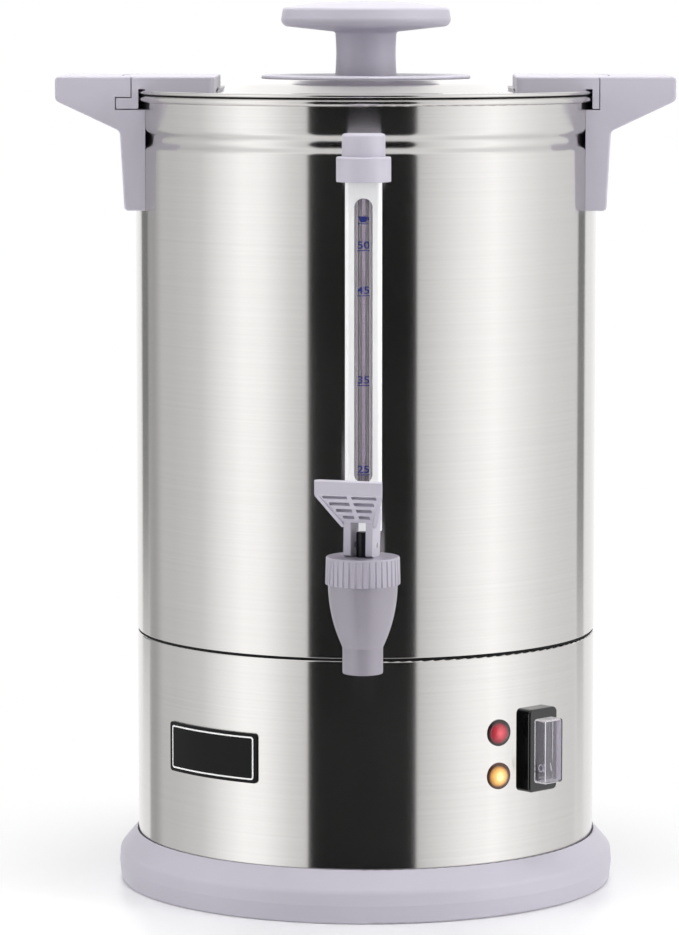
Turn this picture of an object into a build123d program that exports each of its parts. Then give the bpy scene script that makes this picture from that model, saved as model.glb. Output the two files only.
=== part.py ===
from build123d import *

import os
from math import atan2, cos, degrees, hypot, radians, sin, sqrt

# A percolating coffee urn in stainless steel, with a plastic twist-lock lid, a water gauge and a
# lever tap. Millimetres, +Z up. The origin is on the urn's axis in the plane that it stands on, and
# the tap points along -Y. Azimuths are in degrees, counted from +X towards +Y.

# ---- driving dimensions -------------------------------------------------------------------------

FIT = 0.05          # radial clearance of a pin or tube in its bore
SLIP = 0.2          # clearance between moulded pieces that slip together
TOUCH = 0.02        # clearance under a curved piece that bears on a curved wall
PAST = 1.0          # how far a short cut runs past its face
THROUGH = 20.0      # how far a long cut runs past what it cuts
CRISP = 0.4         # roundings of sheet edges,
SOFT = 0.8          # of moulded edges
ROUND = 1.4         # and of broad edges

# steel tank
TANK_R = 110.0
TANK_WALL = 1.0
RIM_Z = 378.4       # top of the rolled rim
RIM_ROLL = 1.7
SEAM_Z = 121.3      # where the tank's shoulder stands on the base shell
SEAM_GAP = 1.0
SEAM_DEPTH = 0.7
GASKET_SINK = 0.25    # from the tank's outside in to the gasket in the seam
NECK_STEP = 1.3     # the tank's lower end is this much smaller and drops into the base shell
FLOOR_DROP = 11.3   # from the seam down to the inside face of the floor
FLOOR_BEND = 3.0
WELL_R = 27.0
WELL_DEPTH = 8.0
WELL_BEND = 2.0
WELL_LIP = 0.6
BEAD_DROP = 20.6    # from the rim's top down to the stiffening groove round the tank
BEAD_HALF = 4.4
BEAD_DEPTH = 3.0
BEAD_BEND = 4.0
BEAD_EASES = (2.6, 4.0)     # roundings of its lower and upper edges

# steel shell under the tank
SHELL_WALL = 1.0
SHELL_FLANGE = 15.0
SHELL_Z = 12.0      # underside of the shell's inward flange

# plastic foot ring and bottom plate
RING_REACH = 9.3    # how far the ring stands out from the shell
RING_FOOT = 15.3    # width of the ring's foot
RING_DRAFT = 1.0
RING_CREASE_Z = 8.6
RING_TOP_Z = 24.75
RING_SLOPE = 9.75   # height of the sloping shoulder
RING_LIP = 0.3
SHOULDER_LEAN = 0.5
SHOULDER_BEND = 4.0
LEDGE_T = 4.0
LEDGE_REACH = 2.0   # how far the ledge runs in past the shell's flange
PLATE_T = 1.0
PLATE_GAP = 0.3
VENT_COUNT = 12
VENT_SIZE = (24.0, 3.0)
VENT_R = 66.0
BASE_SCREW_R = 2.0
BASE_SCREW_HEAD = 3.6
BASE_SCREW_COUNT = 4
BASE_SCREW_AZ = 45.0
BASE_SCREW_IN = 10.0    # from the shell's side in to the screws
SCREW_HEAD_H = 2.4
SCREW_SLOT = 1.0
SCREW_TAIL = 1.0        # how far a screw runs on past its nut
NUT_ACROSS = 7.0
NUT_H = 3.2

# handles
HANDLE_HALF = 37.5      # half the width along Y
HANDLE_REACH = 35.8     # from the tank's side out to the handle's end
HANDLE_END_DROP = 11.3  # below the handle's top: foot of its end,
ARM_TOP_DROP = 25.6     # where its slope meets the arm,
ARM_FOOT_DROP = 63.0    # and the arm's foot
ARM_TOP_T = 5.4
ARM_FOOT_T = 3.4
HANDLE_ROUND = 2.0
EDGE_ROUND = 1.0
HANDLE_SKIN = 3.2
HANDLE_RIB = 2.6
HANDLE_CELLS = 3
HANDLE_SCREW_R = 2.0
HANDLE_SCREW_HEAD = 4.0
HANDLE_SCREW_HEAD_H = 3.0
HANDLE_SCREW_DROPS = (19.5, 51.3)   # the two pairs of screws: below the handle's top,
HANDLE_SCREW_AZ = (11.0, 12.5)      # to each side of its middle
HANDLE_SCREW_BITES = (8.0, 4.3)     # and into the plastic

# twist lock between the lid's ears and the handles
LEG_GAP = 0.6           # from the rim's roll to the ear's leg
LEG_T = 2.9
LEG_DROP = 15.1         # from the ear's top down to the leg's foot
LOCK_GAP = 0.5
TONGUE_REACH = 7.0
TONGUE_H = 5.0
TONGUE_AZ = 7.0
TONGUE_STOP = 2.0       # degrees from the tongue to the closed end of its groove
GROOVE_AZ = 40.0        # past the handle's side, where the groove is open

# lid
LID_SHEET = 0.8
LID_ROLL = 0.85
LID_RISE = 6.2          # from the flat shelf to the dome's top
LID_TOP_R = 54.0
LID_TOP_BEND = 16.0
DOME_KNEE_R = 63.5
DOME_KNEE_RISE = 4.2
DOME_KNEE_BEND = 16.0
DOME_FOOT_RUN = 9.0
DOME_FOOT_BEND = 3.0
EAR_T = 7.6
EAR_IN_X = 70.9
EAR_ROUND = 3.0
EAR_ROOM = 0.8          # room between the ear and the dome or the lid's roll
EAR_SCREW_R = 1.75
EAR_SCREW_HEAD = 3.5
EAR_SCREW_HEAD_H = 2.2
EAR_SCREW_CIRCLE = 92.0
EAR_SCREW_AZ = 14.0
EAR_SCREW_BITE = 5.4
SEAL_T = 0.4
SEAL_LIP = 1.5
SEAL_SKIRT = 4.4
SEAL_GAP = 0.3
SEAL_EDGE = 1.1         # from the seal's rim in to the roll's outside

# knob
KNOB_FLANGE_R = 50.0
KNOB_FLANGE_T = 1.5
KNOB_FLANGE_EDGE = 0.3
KNOB_STEM_R = 14.6
KNOB_STEM_H = 20.5
KNOB_WAIST = 0.5
KNOB_WAIST_BEND = 60.0
KNOB_R = 41.0
KNOB_BELLY = 2.9        # from the disc's side down to where its underside meets the stem
KNOB_SIDE_H = 8.5
KNOB_DRAFT = 1.45
KNOB_EDGE = 1.6
KNOB_BELLY_EDGE = 3.5
KNOB_DOME_H = 3.1
KNOB_CROWN = 0.45       # share of the dome in its flat middle
KNOB_CROWN_R = 22.2
KNOB_CROWN_BEND = 80.0
KNOB_SCREW_R = 2.5
KNOB_SCREW_HEAD = 5.0
KNOB_SCREW_HEAD_H = 2.6
KNOB_SCREW_BITE = 15.0
SCREW_END = 0.5         # room beyond a screw's tip

# water gauge
GAUGE_REACH = 14.5      # from the tank's side out to the glass's axis
GLASS_R = 4.5
GLASS_WALL = 1.3
SHIELD_HALF = 8.35
SHIELD_DEEP = 6.4
SHIELD_T = 1.2
SHIELD_ROUND = 2.4
SLEEVE_H = 12.5         # from the block up to the shield's foot
SLOT_W = 8.3
SLOT_LIFT = 21.7        # from the shield's foot up to the slot
SLOT_DROP = 7.2         # from the cap's foot down to the slot
CAP_DROP = 15.0         # from the rim's top down to the cap's top
CAP_HIGH_H = 10.4
CAP_LOW_H = 11.3
CAP_LOW_R = 12.4
CAP_HIGH_R = 9.8
CAP_WALL = 1.2
CAP_ROOF = 4.9
CAP_SEAL_T = 2.0
SEAL_PAD_T = 1.5
SLEEVE_LIFT = 2.0       # from the glass's foot up to the sleeve's foot

# tap shank, its seals and the block that feeds the gauge
SHANK_RISE = 40.0       # above the tank's floor
SHANK_R = 7.0
SHANK_BORE = 5.0
SHANK_NUT_ACROSS = 22.0
SHANK_NUT_T = 5.0
SHANK_TAIL = 2.0
WASHER_R = 11.0
WASHER_T = 3.0
BLOCK_R = 10.5
BLOCK_BOSS_R = 8.0
BLOCK_RISE = 21.5
BLOCK_SEAT = 11.0
GAUGE_DUCT_R = 2.2

# tap
TAP_REACH = 43.0        # from the tank's side out to the tap's axis
SPOUT_R = 9.1
SPOUT_DROP = 27.5       # from the shank's axis down to the spout's end
SPOUT_H = 11.9
SPOUT_BORE = 5.5
SPOUT_EDGE = 0.7
BELLY_R = 13.6
BELLY_DROP = 3.0
TAP_R = 15.6
CHAMBER_R = 11.5
CHAMBER_CONE = 5.0
SEAT_DROP = 12.0
SEAT_EDGE = 0.6
THREAD_R = 14.2
COLLAR_RISE = 13.0
COLLAR_H = 12.5
COLLAR_R = 16.9
COLLAR_ROOF = 3.0
COLLAR_BAND = 0.9       # smooth band above the flutes
COLLAR_DRAFT = 0.35
COLLAR_HOLE = 5.5
FLUTE_COUNT = 36
FLUTE_R = 0.7
FLUTE_OUT = 0.05
STEM_R = 3.0
STEM_BUTTON_R = 5.0
STEM_BUTTON_H = 2.0
STEM_OVER = 5.9         # from the pin up to the stem's end
BUSH_R = 10.5
BUSH_T = 1.6
BUSH_GAP = 0.1
CUP_T = 1.2
CUP_PLUG_R = 8.0
CUP_PLUG_T = 3.4
CUP_RIM_R = 10.8
SPRING_WIRE = 0.5
SPRING_R = 5.2
SPRING_TURNS = 7

# lever
LEVER_YAW = 18.0        # the lever stands turned this far towards -X
PIN_R = 1.25
PIN_RISE = 5.0          # height of the pin above the cam's flat
CAM_RATE = 4.0          # lift in millimetres per radian of tilt
CAM_EXTRA = 2.0         # degrees that the cam runs on past the lever's travel
CAM_STEPS = 4
TILT = 30.0
CAM_GAP = 0.1
FORK_GAP = 3.6          # half the gap between the legs
FORK_T = 3.2
LEG_BACK = -3.5
LEG_FRONT = 6.5
LEG_LEAN = 2.0
HEEL_OUT = 0.6
HEEL_H = 3.0
ROOT_RISE = 15.7        # from the cam's flat up to the paddle's root
LIP_X = 21.0
LIP_RISE = 14.2
LIP_H = 5.9
LIP_T = 3.5
LIP_HALF = 15.75
PADDLE_T = 5.2
PADDLE_BEND = 4.0
PADDLE_SAG = 3.0
SKIRT_T = 1.6
SKIRT_DROP = 3.6
SKIRT_LAP = 2.0
GRIP_ROWS = 4
GRIP_START = 1.2
GRIP_SLOT = 2.4
GRIP_DEEP = 3.0
GRIP_RIB = 1.0          # half the rib between the two rows of slots
GRIP_EDGE = 0.5

# switch, indicators, badge and cord entry on the base shell
SWITCH_AZ = -45.0
SWITCH_Z = 75.8
BEZEL = (18.8, 39.0, 8.4)       # width, height, standing proud
BEZEL_BEND = 2.4
BEZEL_EDGE = 1.2
SWITCH_BODY = (12.2, 29.4, 17.0)
POCKET = (10.6, 27.0, 6.6)
ROCKER_W = 9.8
ROCKER_HALF = 12.4
ROCKER_BULGE = 1.2
ROCKER_BEND = 6.0
ROCKER_DEEP = 3.4
ROCKER_PROUD = 0.8
ROCKER_TILT = 5.0
ROCKER_PIVOT_IN = 2.9
ROCKER_PIN_R = 1.2
ROCKER_PIN_BITE = 0.8
COVER = (12.4, 30.0, 6.6)
COVER_T = 0.9
LAMP_AZ = -55.5
LAMP_Z = (85.0, 64.7)
LAMP_R = 6.25
LAMP_RIM = 1.6
LAMP_RIM_W = 1.2
LAMP_DOME = 1.6
LAMP_DOME_R = 2.8
LAMP_DOME_BEND = 3.0
LAMP_BODY_R = 4.9
LAMP_DEPTH = 13.0
LAMP_NUT_R = 7.0
LAMP_NUT_T = 3.0
BADGE_AZ = -131.0
BADGE_Z = 73.8
BADGE = (55.5, 23.3, 0.9)
BADGE_BEND = 1.6
GLAND_Z = 40.0
GLAND_R = 8.0
GLAND_FLANGE_R = 11.0
GLAND_REACH = 14.0
GLAND_DEPTH = 11.0
GLAND_FLANGE_T = 5.0
GLAND_NUT_ACROSS = 18.7
GLAND_NUT_T = 5.0
GLAND_NECK_T = 2.0
CORD_R = 3.7

# heating under the tank
HEATER_R = 24.0
HEATER_T = 5.0
ELEMENT_R = 3.2
ELEMENT_RING = 18.0
ELEMENT_END_R = 1.5
ELEMENT_END_H = 16.0
ELEMENT_END_X = 5.0
CLAMP = (92.0, 16.0, 2.0)
STUD_R = 2.0
STUD_X = 38.0
STUD_FOOT_H = 1.0
WARMER = (44.0, 24.0, 4.0)
WARMER_AT = (0.0, 66.0)
WARMER_TAB_X = 12.0
BLADE = (4.8, 0.8, 8.0)     # width, thickness and length of a wiring tab
SENSOR_R = 8.0
SENSOR_H = 9.0
SENSOR_STEP = 1.0
SENSOR_CAP_H = 3.0
SENSOR_EARS = 27.2
SENSOR_EAR_T = 0.8
SENSOR_EAR_DROP = 1.2
SENSOR_HOLE_R = 1.6
SENSOR_HOLE_X = 10.4
SENSOR_TAB_X = 4.0
SENSOR_AT = ((-62.0, 30.0), (-62.0, -30.0))
TERMINALS = (40.0, 18.0, 14.0)
TERMINAL_COUNT = 3
TERMINAL_WELL = (2.6, 7.0)  # radius, depth
TERMINAL_WIRE = (2.0, 4.9)  # radius, height of its axis
TERMINALS_IN = 24.9     # from the ledge's inner edge in to the block's centre
TERMINALS_AZ = 40.2
EARTH_R = 2.5
EARTH_H = 14.0
EARTH_HEX = (8.0, 3.0)
EARTH_IN = 23.6         # from the ledge's inner edge in to the stud
EARTH_AZ = -41.5

# percolator
PUMP_R = 6.35
PUMP_WALL = 0.8
PUMP_DROP = 4.4         # from the rim's top down to the tube's end
PUMP_FOOT_R = 24.0
PUMP_FOOT_H = 17.0
PUMP_SEAT = 8.5         # height of the tube's lower end above the well's floor
PUMP_PLATE = 1.0
PUMP_SKIRT = 3.0
PUMP_SHOULDER = 10.2
PUMP_EDGE = 2.0
PUMP_INLET_R = 4.0
PUMP_GAP = 0.1
VALVE_R = 7.0
VALVE_T = 1.0
VALVE_NOTCH_R = 1.2
VALVE_NOTCHES = 3
BASKET_R = 84.5
BASKET_WALL = 0.8
BASKET_DROP = 61.4      # from the rim's top down to the basket's floor
BASKET_H = 50.0
BASKET_RIM = 2.0
BASKET_BEND = 4.2
BASKET_HOLE_R = 1.5
BASKET_RINGS_R = (22.0, 36.0, 50.0, 64.0)   # circles of holes,
BASKET_HOLE_COUNTS = (10, 16, 22, 28)       # and how many on each
SPREADER_RINGS_R = (26.0, 46.0, 66.0)
SPREADER_HOLE_COUNTS = (12, 20, 28)
SPREADER_H = 2.2
SPREADER_EDGE = 1.0
STOP_R = 9.0
STOP_T = 1.5

# ---- places that follow from them ---------------------------------------------------------------

TANK_IN = TANK_R - TANK_WALL
NECK_R = TANK_R - NECK_STEP
FLOOR_Z = SEAM_Z - FLOOR_DROP
FLOOR_UNDER = FLOOR_Z - TANK_WALL
WELL_Z = FLOOR_Z - WELL_DEPTH
WELL_UNDER = WELL_Z - TANK_WALL
BEAD_Z = RIM_Z - BEAD_DROP
RIM_R = TANK_IN + RIM_ROLL
RIM_OUT_R = RIM_R + RIM_ROLL
SHELL_IN = TANK_R - SHELL_WALL
FLANGE_IN = TANK_R - SHELL_FLANGE
FLANGE_TOP_Z = SHELL_Z + SHELL_WALL
RING_R = TANK_R + RING_REACH
RING_WALL_IN = RING_R - RING_FOOT
LEDGE_IN = FLANGE_IN - LEDGE_REACH
LEDGE_Z = SHELL_Z - LEDGE_T
PLATE_UNDER = LEDGE_Z - PLATE_T
BASE_SCREW_CIRCLE = TANK_R - BASE_SCREW_IN

LID_UNDER_Z = RIM_Z + SEAL_T + 2 * FIT
LID_Z = LID_UNDER_Z + LID_SHEET
LID_TOP_Z = LID_Z + LID_RISE
LID_ROOF_Z = LID_TOP_Z - LID_SHEET
DOME_KNEE_Z = LID_Z + DOME_KNEE_RISE
DOME_FOOT_R = DOME_KNEE_R + DOME_FOOT_RUN
EAR_SCREW_TIP_Z = LID_Z + EAR_SCREW_BITE
HANDLE_TOP_Z = LID_Z + EAR_T
HANDLE_END_X = TANK_R + HANDLE_REACH
HANDLE_END_Z = HANDLE_TOP_Z - HANDLE_END_DROP
ARM_TOP_X = TANK_R + ARM_TOP_T
ARM_TOP_Z = HANDLE_TOP_Z - ARM_TOP_DROP
ARM_FOOT_X = TANK_R + ARM_FOOT_T
ARM_FOOT_Z = HANDLE_TOP_Z - ARM_FOOT_DROP
LEG_IN_R = RIM_OUT_R + LEG_GAP
LEG_OUT_R = LEG_IN_R + LEG_T
LEG_FOOT_Z = HANDLE_TOP_Z - LEG_DROP
TONGUE_R = LEG_OUT_R + TONGUE_REACH
TONGUE_TOP_Z = LEG_FOOT_Z + TONGUE_H
LOCK_R = LEG_OUT_R + LOCK_GAP
LOCK_FLOOR_Z = LEG_FOOT_Z - LOCK_GAP
KNOB_FOOT_Z = LID_TOP_Z + KNOB_FLANGE_T
KNOB_UNDER_Z = KNOB_FOOT_Z + KNOB_STEM_H
KNOB_SIDE_FOOT_Z = KNOB_UNDER_Z + KNOB_BELLY
KNOB_SIDE_Z = KNOB_SIDE_FOOT_Z + KNOB_SIDE_H
KNOB_TOP_Z = KNOB_SIDE_Z + KNOB_DOME_H
KNOB_SCREW_TIP_Z = KNOB_FOOT_Z + KNOB_SCREW_BITE

SHANK_Z = FLOOR_Z + SHANK_RISE
SHANK_END_R = TANK_IN - WASHER_T - SHANK_NUT_T - SHANK_TAIL
GAUGE_Y = -(TANK_R + GAUGE_REACH)
BLOCK_TOP_Z = SHANK_Z + BLOCK_RISE
BLOCK_SEAT_Z = SHANK_Z + BLOCK_SEAT
BLOCK_BACK_R = TANK_R + WASHER_T
GLASS_FOOT_Z = BLOCK_SEAT_Z + SEAL_PAD_T
CAP_TOP_Z = RIM_Z - CAP_DROP
CAP_STEP_Z = CAP_TOP_Z - CAP_HIGH_H
CAP_FOOT_Z = CAP_STEP_Z - CAP_LOW_H
CAP_BORE_R = GLASS_R + CAP_SEAL_T
CAP_BORE_Z = CAP_TOP_Z - CAP_ROOF
GLASS_TOP_Z = CAP_BORE_Z - SEAL_PAD_T
SHIELD_Z = BLOCK_TOP_Z + SLEEVE_H
SHIELD_TOP_Z = CAP_STEP_Z - CAP_WALL - FIT - SHIELD_T
SLOT_Z = (SHIELD_Z + SLOT_LIFT, CAP_FOOT_Z - SLOT_DROP)
SLEEVE_R = GLASS_R + SHIELD_T

TAP_Y = -(TANK_R + TAP_REACH)
TAP_BACK_R = TANK_R + TAP_REACH - TAP_R
SPOUT_Z = SHANK_Z - SPOUT_DROP
SPOUT_TOP_Z = SPOUT_Z + SPOUT_H
BELLY_Z = SHANK_Z - BELLY_DROP
SEAT_Z = SHANK_Z - SEAT_DROP
COLLAR_Z = SHANK_Z + COLLAR_RISE
COLLAR_TOP_Z = COLLAR_Z + COLLAR_H
COLLAR_CEILING_Z = COLLAR_TOP_Z - COLLAR_ROOF
BUSH_TOP_Z = COLLAR_CEILING_Z - BUSH_GAP
BUSH_Z = BUSH_TOP_Z - BUSH_T
STEM_FOOT_Z = SEAT_Z + CUP_PLUG_T + FIT
CAM_Z = COLLAR_TOP_Z + CAM_GAP
PIN_Z = CAM_Z + PIN_RISE
STEM_TOP_Z = PIN_Z + STEM_OVER
ROOT_Z = CAM_Z + ROOT_RISE
LIP_Z = ROOT_Z + LIP_RISE
FORK_HALF = FORK_GAP + FORK_T

SWITCH_FACE_R = TANK_R + BEZEL[2]
ROCKER_PIVOT_R = SWITCH_FACE_R - ROCKER_PIVOT_IN
LAMP_IN_R = TANK_R - LAMP_DEPTH
GLAND_OUT_R = TANK_R + GLAND_REACH
GLAND_IN_R = TANK_R - GLAND_DEPTH
HEATER_FOOT = WELL_UNDER - HEATER_T
CLAMP_TOP = HEATER_FOOT - ELEMENT_R
PUMP_TOP_Z = RIM_Z - PUMP_DROP
BASKET_Z = RIM_Z - BASKET_DROP
BASKET_TOP_Z = BASKET_Z + BASKET_H

AT_GAUGE = Pos(0, GAUGE_Y, 0)
AT_TAP = Pos(0, TAP_Y, 0)
LEVER_TURN = Rot(0, 0, -90 - LEVER_YAW)     # turns the lever's own +X to where it points
HALF_TURN = Rot(0, 0, 180)


# ---- helpers ------------------------------------------------------------------------------------

def outline(*corners):
    """A closed flat outline. A corner is (x, y), or (x, y, radius) where it is rounded."""
    points = [corner[:2] for corner in corners]
    rounds = [corner[2] if len(corner) > 2 else 0 for corner in corners]
    return make_face(FilletPolyline(points, radius=rounds, close=True))


def turned(face):
    """A solid of revolution about Z from a flat outline in (radius, height)."""
    return revolve(Plane.XZ * face, Axis.Z)


def rod(radius, low, high):
    """A cylinder on Z between two heights."""
    return Pos(0, 0, low) * Cylinder(radius, high - low, align=(Align.CENTER, Align.CENTER, Align.MIN))


def pipe(outer, inner, low, high):
    return rod(outer, low, high) - rod(inner, low - PAST, high + PAST)


def block(x, y, z):
    """A box between pairs of X, Y and Z values."""
    return Pos(x[0], y[0], z[0]) * Box(x[1] - x[0], y[1] - y[0], z[1] - z[0], align=(Align.MIN,) * 3)


def out_from_axis(azimuth, height=0):
    """The place of a piece that is drawn along Z and lies along a radius of the urn."""
    return Pos(0, 0, height) * Rot(0, 0, azimuth) * Rot(0, 90, 0)


def hexagon(across, low, high):
    return Pos(0, 0, low) * extrude(RegularPolygon(across / sqrt(3), 6), high - low)


def hex_nut(across, screw_radius, low, high):
    return hexagon(across, low, high) - rod(screw_radius + FIT, low - PAST, high + PAST)


def tablet(width, height, low, high, radius):
    """A rounded bar that lies along a radius: width is tangential and height is vertical."""
    return Pos(0, 0, low) * extrude(RectangleRounded(height, width, radius), high - low)


def ring_of(count, radius, tool, phase=0.0):
    """Copies of a tool spread evenly round the Z axis."""
    copies = [Rot(0, 0, phase + step * 360 / count) * Pos(radius, 0, 0) * tool for step in range(count)]
    return Compound(children=copies)


def cut_each(body, tools):
    """Cut a whole set of tools from a body in one step."""
    return body - list(tools.children)


def pan_screw(radius, head_radius, head_height, tip):
    """A pan head screw: the head's flat is at 0, the head lies below it and the tip above."""
    head = Pos(0, 0, -head_height) * fillet(
        rod(head_radius, 0, head_height).edges().group_by(Axis.Z)[0], head_height * 0.45)
    slot = block((-head_radius, head_radius), (-SCREW_SLOT / 2, SCREW_SLOT / 2), (-head_height, -head_height / 2))
    return head - slot + rod(radius, -FIT, tip)


# ---- tank and base ------------------------------------------------------------------------------

def bead(offset, rounding):
    """The tank wall's three corners at its stiffening groove, at a radius less the offset."""
    wall = TANK_R - offset
    low_ease, high_ease = BEAD_EASES
    return [(wall, BEAD_Z - BEAD_HALF, low_ease - rounding),
            (wall - BEAD_DEPTH, BEAD_Z, BEAD_BEND + rounding),
            (wall, BEAD_Z + BEAD_HALF, high_ease - rounding)]


def tank():
    neck_in = NECK_R - TANK_WALL
    shoulder = TANK_R - SEAM_DEPTH
    step_z = SEAM_Z + SEAM_GAP
    rim_centre = RIM_Z - RIM_ROLL
    wall = outline(
        (0, WELL_UNDER), (WELL_R, WELL_UNDER, WELL_BEND + TANK_WALL), (WELL_R, FLOOR_UNDER, WELL_LIP),
        (NECK_R, FLOOR_UNDER, FLOOR_BEND + TANK_WALL), (NECK_R, SEAM_Z), (shoulder, SEAM_Z), (shoulder, step_z),
        (TANK_R, step_z, CRISP), *bead(0, 0), (TANK_R, rim_centre), (TANK_IN, rim_centre),
        *reversed(bead(TANK_WALL, -SOFT * TANK_WALL)), (TANK_IN, step_z + TANK_WALL, SOFT),
        (neck_in, step_z, CRISP), (neck_in, FLOOR_Z, FLOOR_BEND), (WELL_R - TANK_WALL, FLOOR_Z, WELL_LIP + TANK_WALL),
        (WELL_R - TANK_WALL, WELL_Z, WELL_BEND), (0, WELL_Z))
    roll = Pos(RIM_R, rim_centre) * Circle(RIM_ROLL)
    body = turned(wall + roll)
    holes = [out_from_axis(-90, SHANK_Z) * rod(SHANK_R + FIT, TANK_R - THROUGH, TANK_R + THROUGH)]
    for side in (0, 180):
        for drop, azimuth in zip(HANDLE_SCREW_DROPS, HANDLE_SCREW_AZ):
            for turn in (-azimuth, azimuth):
                holes.append(out_from_axis(side + turn, HANDLE_TOP_Z - drop)
                             * rod(HANDLE_SCREW_R + FIT, TANK_R - THROUGH, TANK_R + THROUGH))
    return body - holes


def seam_gasket():
    """Black silicone ring that fills the seam between tank and base shell."""
    low, high = SEAM_Z + FIT, SEAM_Z + SEAM_GAP - FIT
    inner, outer = TANK_R - SEAM_DEPTH + FIT, TANK_R - GASKET_SINK
    return turned(outline((inner, low), (outer, low), (outer, high), (inner, high)))


def base_shell():
    body = turned(outline(
        (FLANGE_IN, SHELL_Z), (TANK_R, SHELL_Z, CRISP + SHELL_WALL), (TANK_R, SEAM_Z, SOFT * SHELL_WALL),
        (SHELL_IN, SEAM_Z), (SHELL_IN, FLANGE_TOP_Z, CRISP), (FLANGE_IN, FLANGE_TOP_Z)))
    low, high = TANK_R - THROUGH, TANK_R + THROUGH
    width, height, _ = SWITCH_BODY
    tools = [out_from_axis(SWITCH_AZ, SWITCH_Z) * tablet(width + SLIP, height + SLIP, low, high, SOFT)]
    tools += [out_from_axis(LAMP_AZ, z) * rod(LAMP_BODY_R + FIT, low, high) for z in LAMP_Z]
    tools.append(out_from_axis(90, GLAND_Z) * rod(GLAND_R + FIT, low, high))
    body = body - tools
    return cut_each(body, base_screw_holes())


def base_screw_holes():
    hole = rod(BASE_SCREW_R + SLIP, LEDGE_Z - THROUGH, SHELL_Z + THROUGH)
    return ring_of(BASE_SCREW_COUNT, BASE_SCREW_CIRCLE, hole, BASE_SCREW_AZ)


def base_ring():
    shoulder_z = RING_TOP_Z - RING_SLOPE
    body = turned(outline(
        (RING_WALL_IN, 0, SOFT), (RING_R - RING_DRAFT, 0, ROUND), (RING_R, RING_CREASE_Z, CRISP),
        (RING_R - SHOULDER_LEAN, shoulder_z, SHOULDER_BEND), (TANK_R + SLIP + RING_LIP, RING_TOP_Z, CRISP),
        (TANK_R + SLIP, SHELL_Z), (LEDGE_IN, SHELL_Z), (LEDGE_IN, LEDGE_Z), (RING_WALL_IN, LEDGE_Z)))
    return cut_each(body, base_screw_holes())


def bottom_plate():
    plate = rod(RING_WALL_IN - PLATE_GAP, PLATE_UNDER, LEDGE_Z)
    length, width = VENT_SIZE
    vent = Pos(0, 0, LEDGE_Z - THROUGH) * extrude(SlotOverall(length, width), 2 * THROUGH)
    plate = cut_each(plate, ring_of(VENT_COUNT, VENT_R, vent))
    return cut_each(plate, base_screw_holes())


def base_screws():
    tip = FLANGE_TOP_Z + NUT_H + SCREW_TAIL - PLATE_UNDER
    screw = Pos(0, 0, PLATE_UNDER) * pan_screw(BASE_SCREW_R, BASE_SCREW_HEAD, SCREW_HEAD_H, tip)
    return ring_of(BASE_SCREW_COUNT, BASE_SCREW_CIRCLE, screw, BASE_SCREW_AZ)


def base_nuts():
    nut = hex_nut(NUT_ACROSS, BASE_SCREW_R, FLANGE_TOP_Z, FLANGE_TOP_Z + NUT_H)
    return ring_of(BASE_SCREW_COUNT, BASE_SCREW_CIRCLE, nut, BASE_SCREW_AZ)


# ---- handles ------------------------------------------------------------------------------------

def wedge(inner, outer, low, high, start, end):
    """A sector of a ring between two azimuths that are less than a right angle apart."""
    reach = 2 * outer
    rays = [(reach * cos(radians(turn)), reach * sin(radians(turn))) for turn in (start, end)]
    sector = make_face(Polyline((0, 0), *rays, close=True))
    return pipe(outer, inner, low, high) & (Pos(0, 0, low) * extrude(sector, high - low))


def handle_screw_places():
    """Place and bite of each screw of the handle on the +X side."""
    return [(out_from_axis(turn, HANDLE_TOP_Z - drop), TANK_R + bite)
            for drop, azimuth, bite in zip(HANDLE_SCREW_DROPS, HANDLE_SCREW_AZ, HANDLE_SCREW_BITES)
            for turn in (-azimuth, azimuth)]


def handle():
    """The handle on the +X side; the other one is the same piece turned half round."""
    side = outline(
        (TANK_R - THROUGH, HANDLE_TOP_Z), (HANDLE_END_X, HANDLE_TOP_Z, HANDLE_ROUND),
        (HANDLE_END_X, HANDLE_END_Z, HANDLE_ROUND + EDGE_ROUND), (ARM_TOP_X, ARM_TOP_Z, HANDLE_ROUND + EDGE_ROUND),
        (ARM_FOOT_X, ARM_FOOT_Z, HANDLE_ROUND), (TANK_R - THROUGH, ARM_FOOT_Z))
    body = extrude(Plane.XZ * side, HANDLE_HALF, both=True)
    ends = body.edges().filter_by_position(Axis.Y, -HANDLE_HALF, -HANDLE_HALF)
    ends += body.edges().filter_by_position(Axis.Y, HANDLE_HALF, HANDLE_HALF)
    body = fillet(ends, EDGE_ROUND)
    tools = [rod(TANK_R + TOUCH, ARM_FOOT_Z - THROUGH, HANDLE_TOP_Z + THROUGH),
             rod(LOCK_R, LOCK_FLOOR_Z, HANDLE_TOP_Z + THROUGH),
             wedge(LOCK_R - PAST, TONGUE_R + LOCK_GAP, LOCK_FLOOR_Z, TONGUE_TOP_Z + LOCK_GAP,
                   TONGUE_AZ - TONGUE_STOP, GROOVE_AZ)]
    pocket_in = TONGUE_R + LOCK_GAP + HANDLE_SKIN
    cell = (2 * (HANDLE_HALF - HANDLE_SKIN) - (HANDLE_CELLS - 1) * HANDLE_RIB) / HANDLE_CELLS
    for step in range(HANDLE_CELLS):
        start = HANDLE_SKIN - HANDLE_HALF + step * (cell + HANDLE_RIB)
        tools.append(block((pocket_in, HANDLE_END_X - HANDLE_SKIN), (start, start + cell),
                           (ARM_TOP_Z, HANDLE_TOP_Z - HANDLE_SKIN)))
    tools += [place * rod(HANDLE_SCREW_R + FIT, TANK_R - PAST, tip + FIT) for place, tip in handle_screw_places()]
    return body - tools


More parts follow.
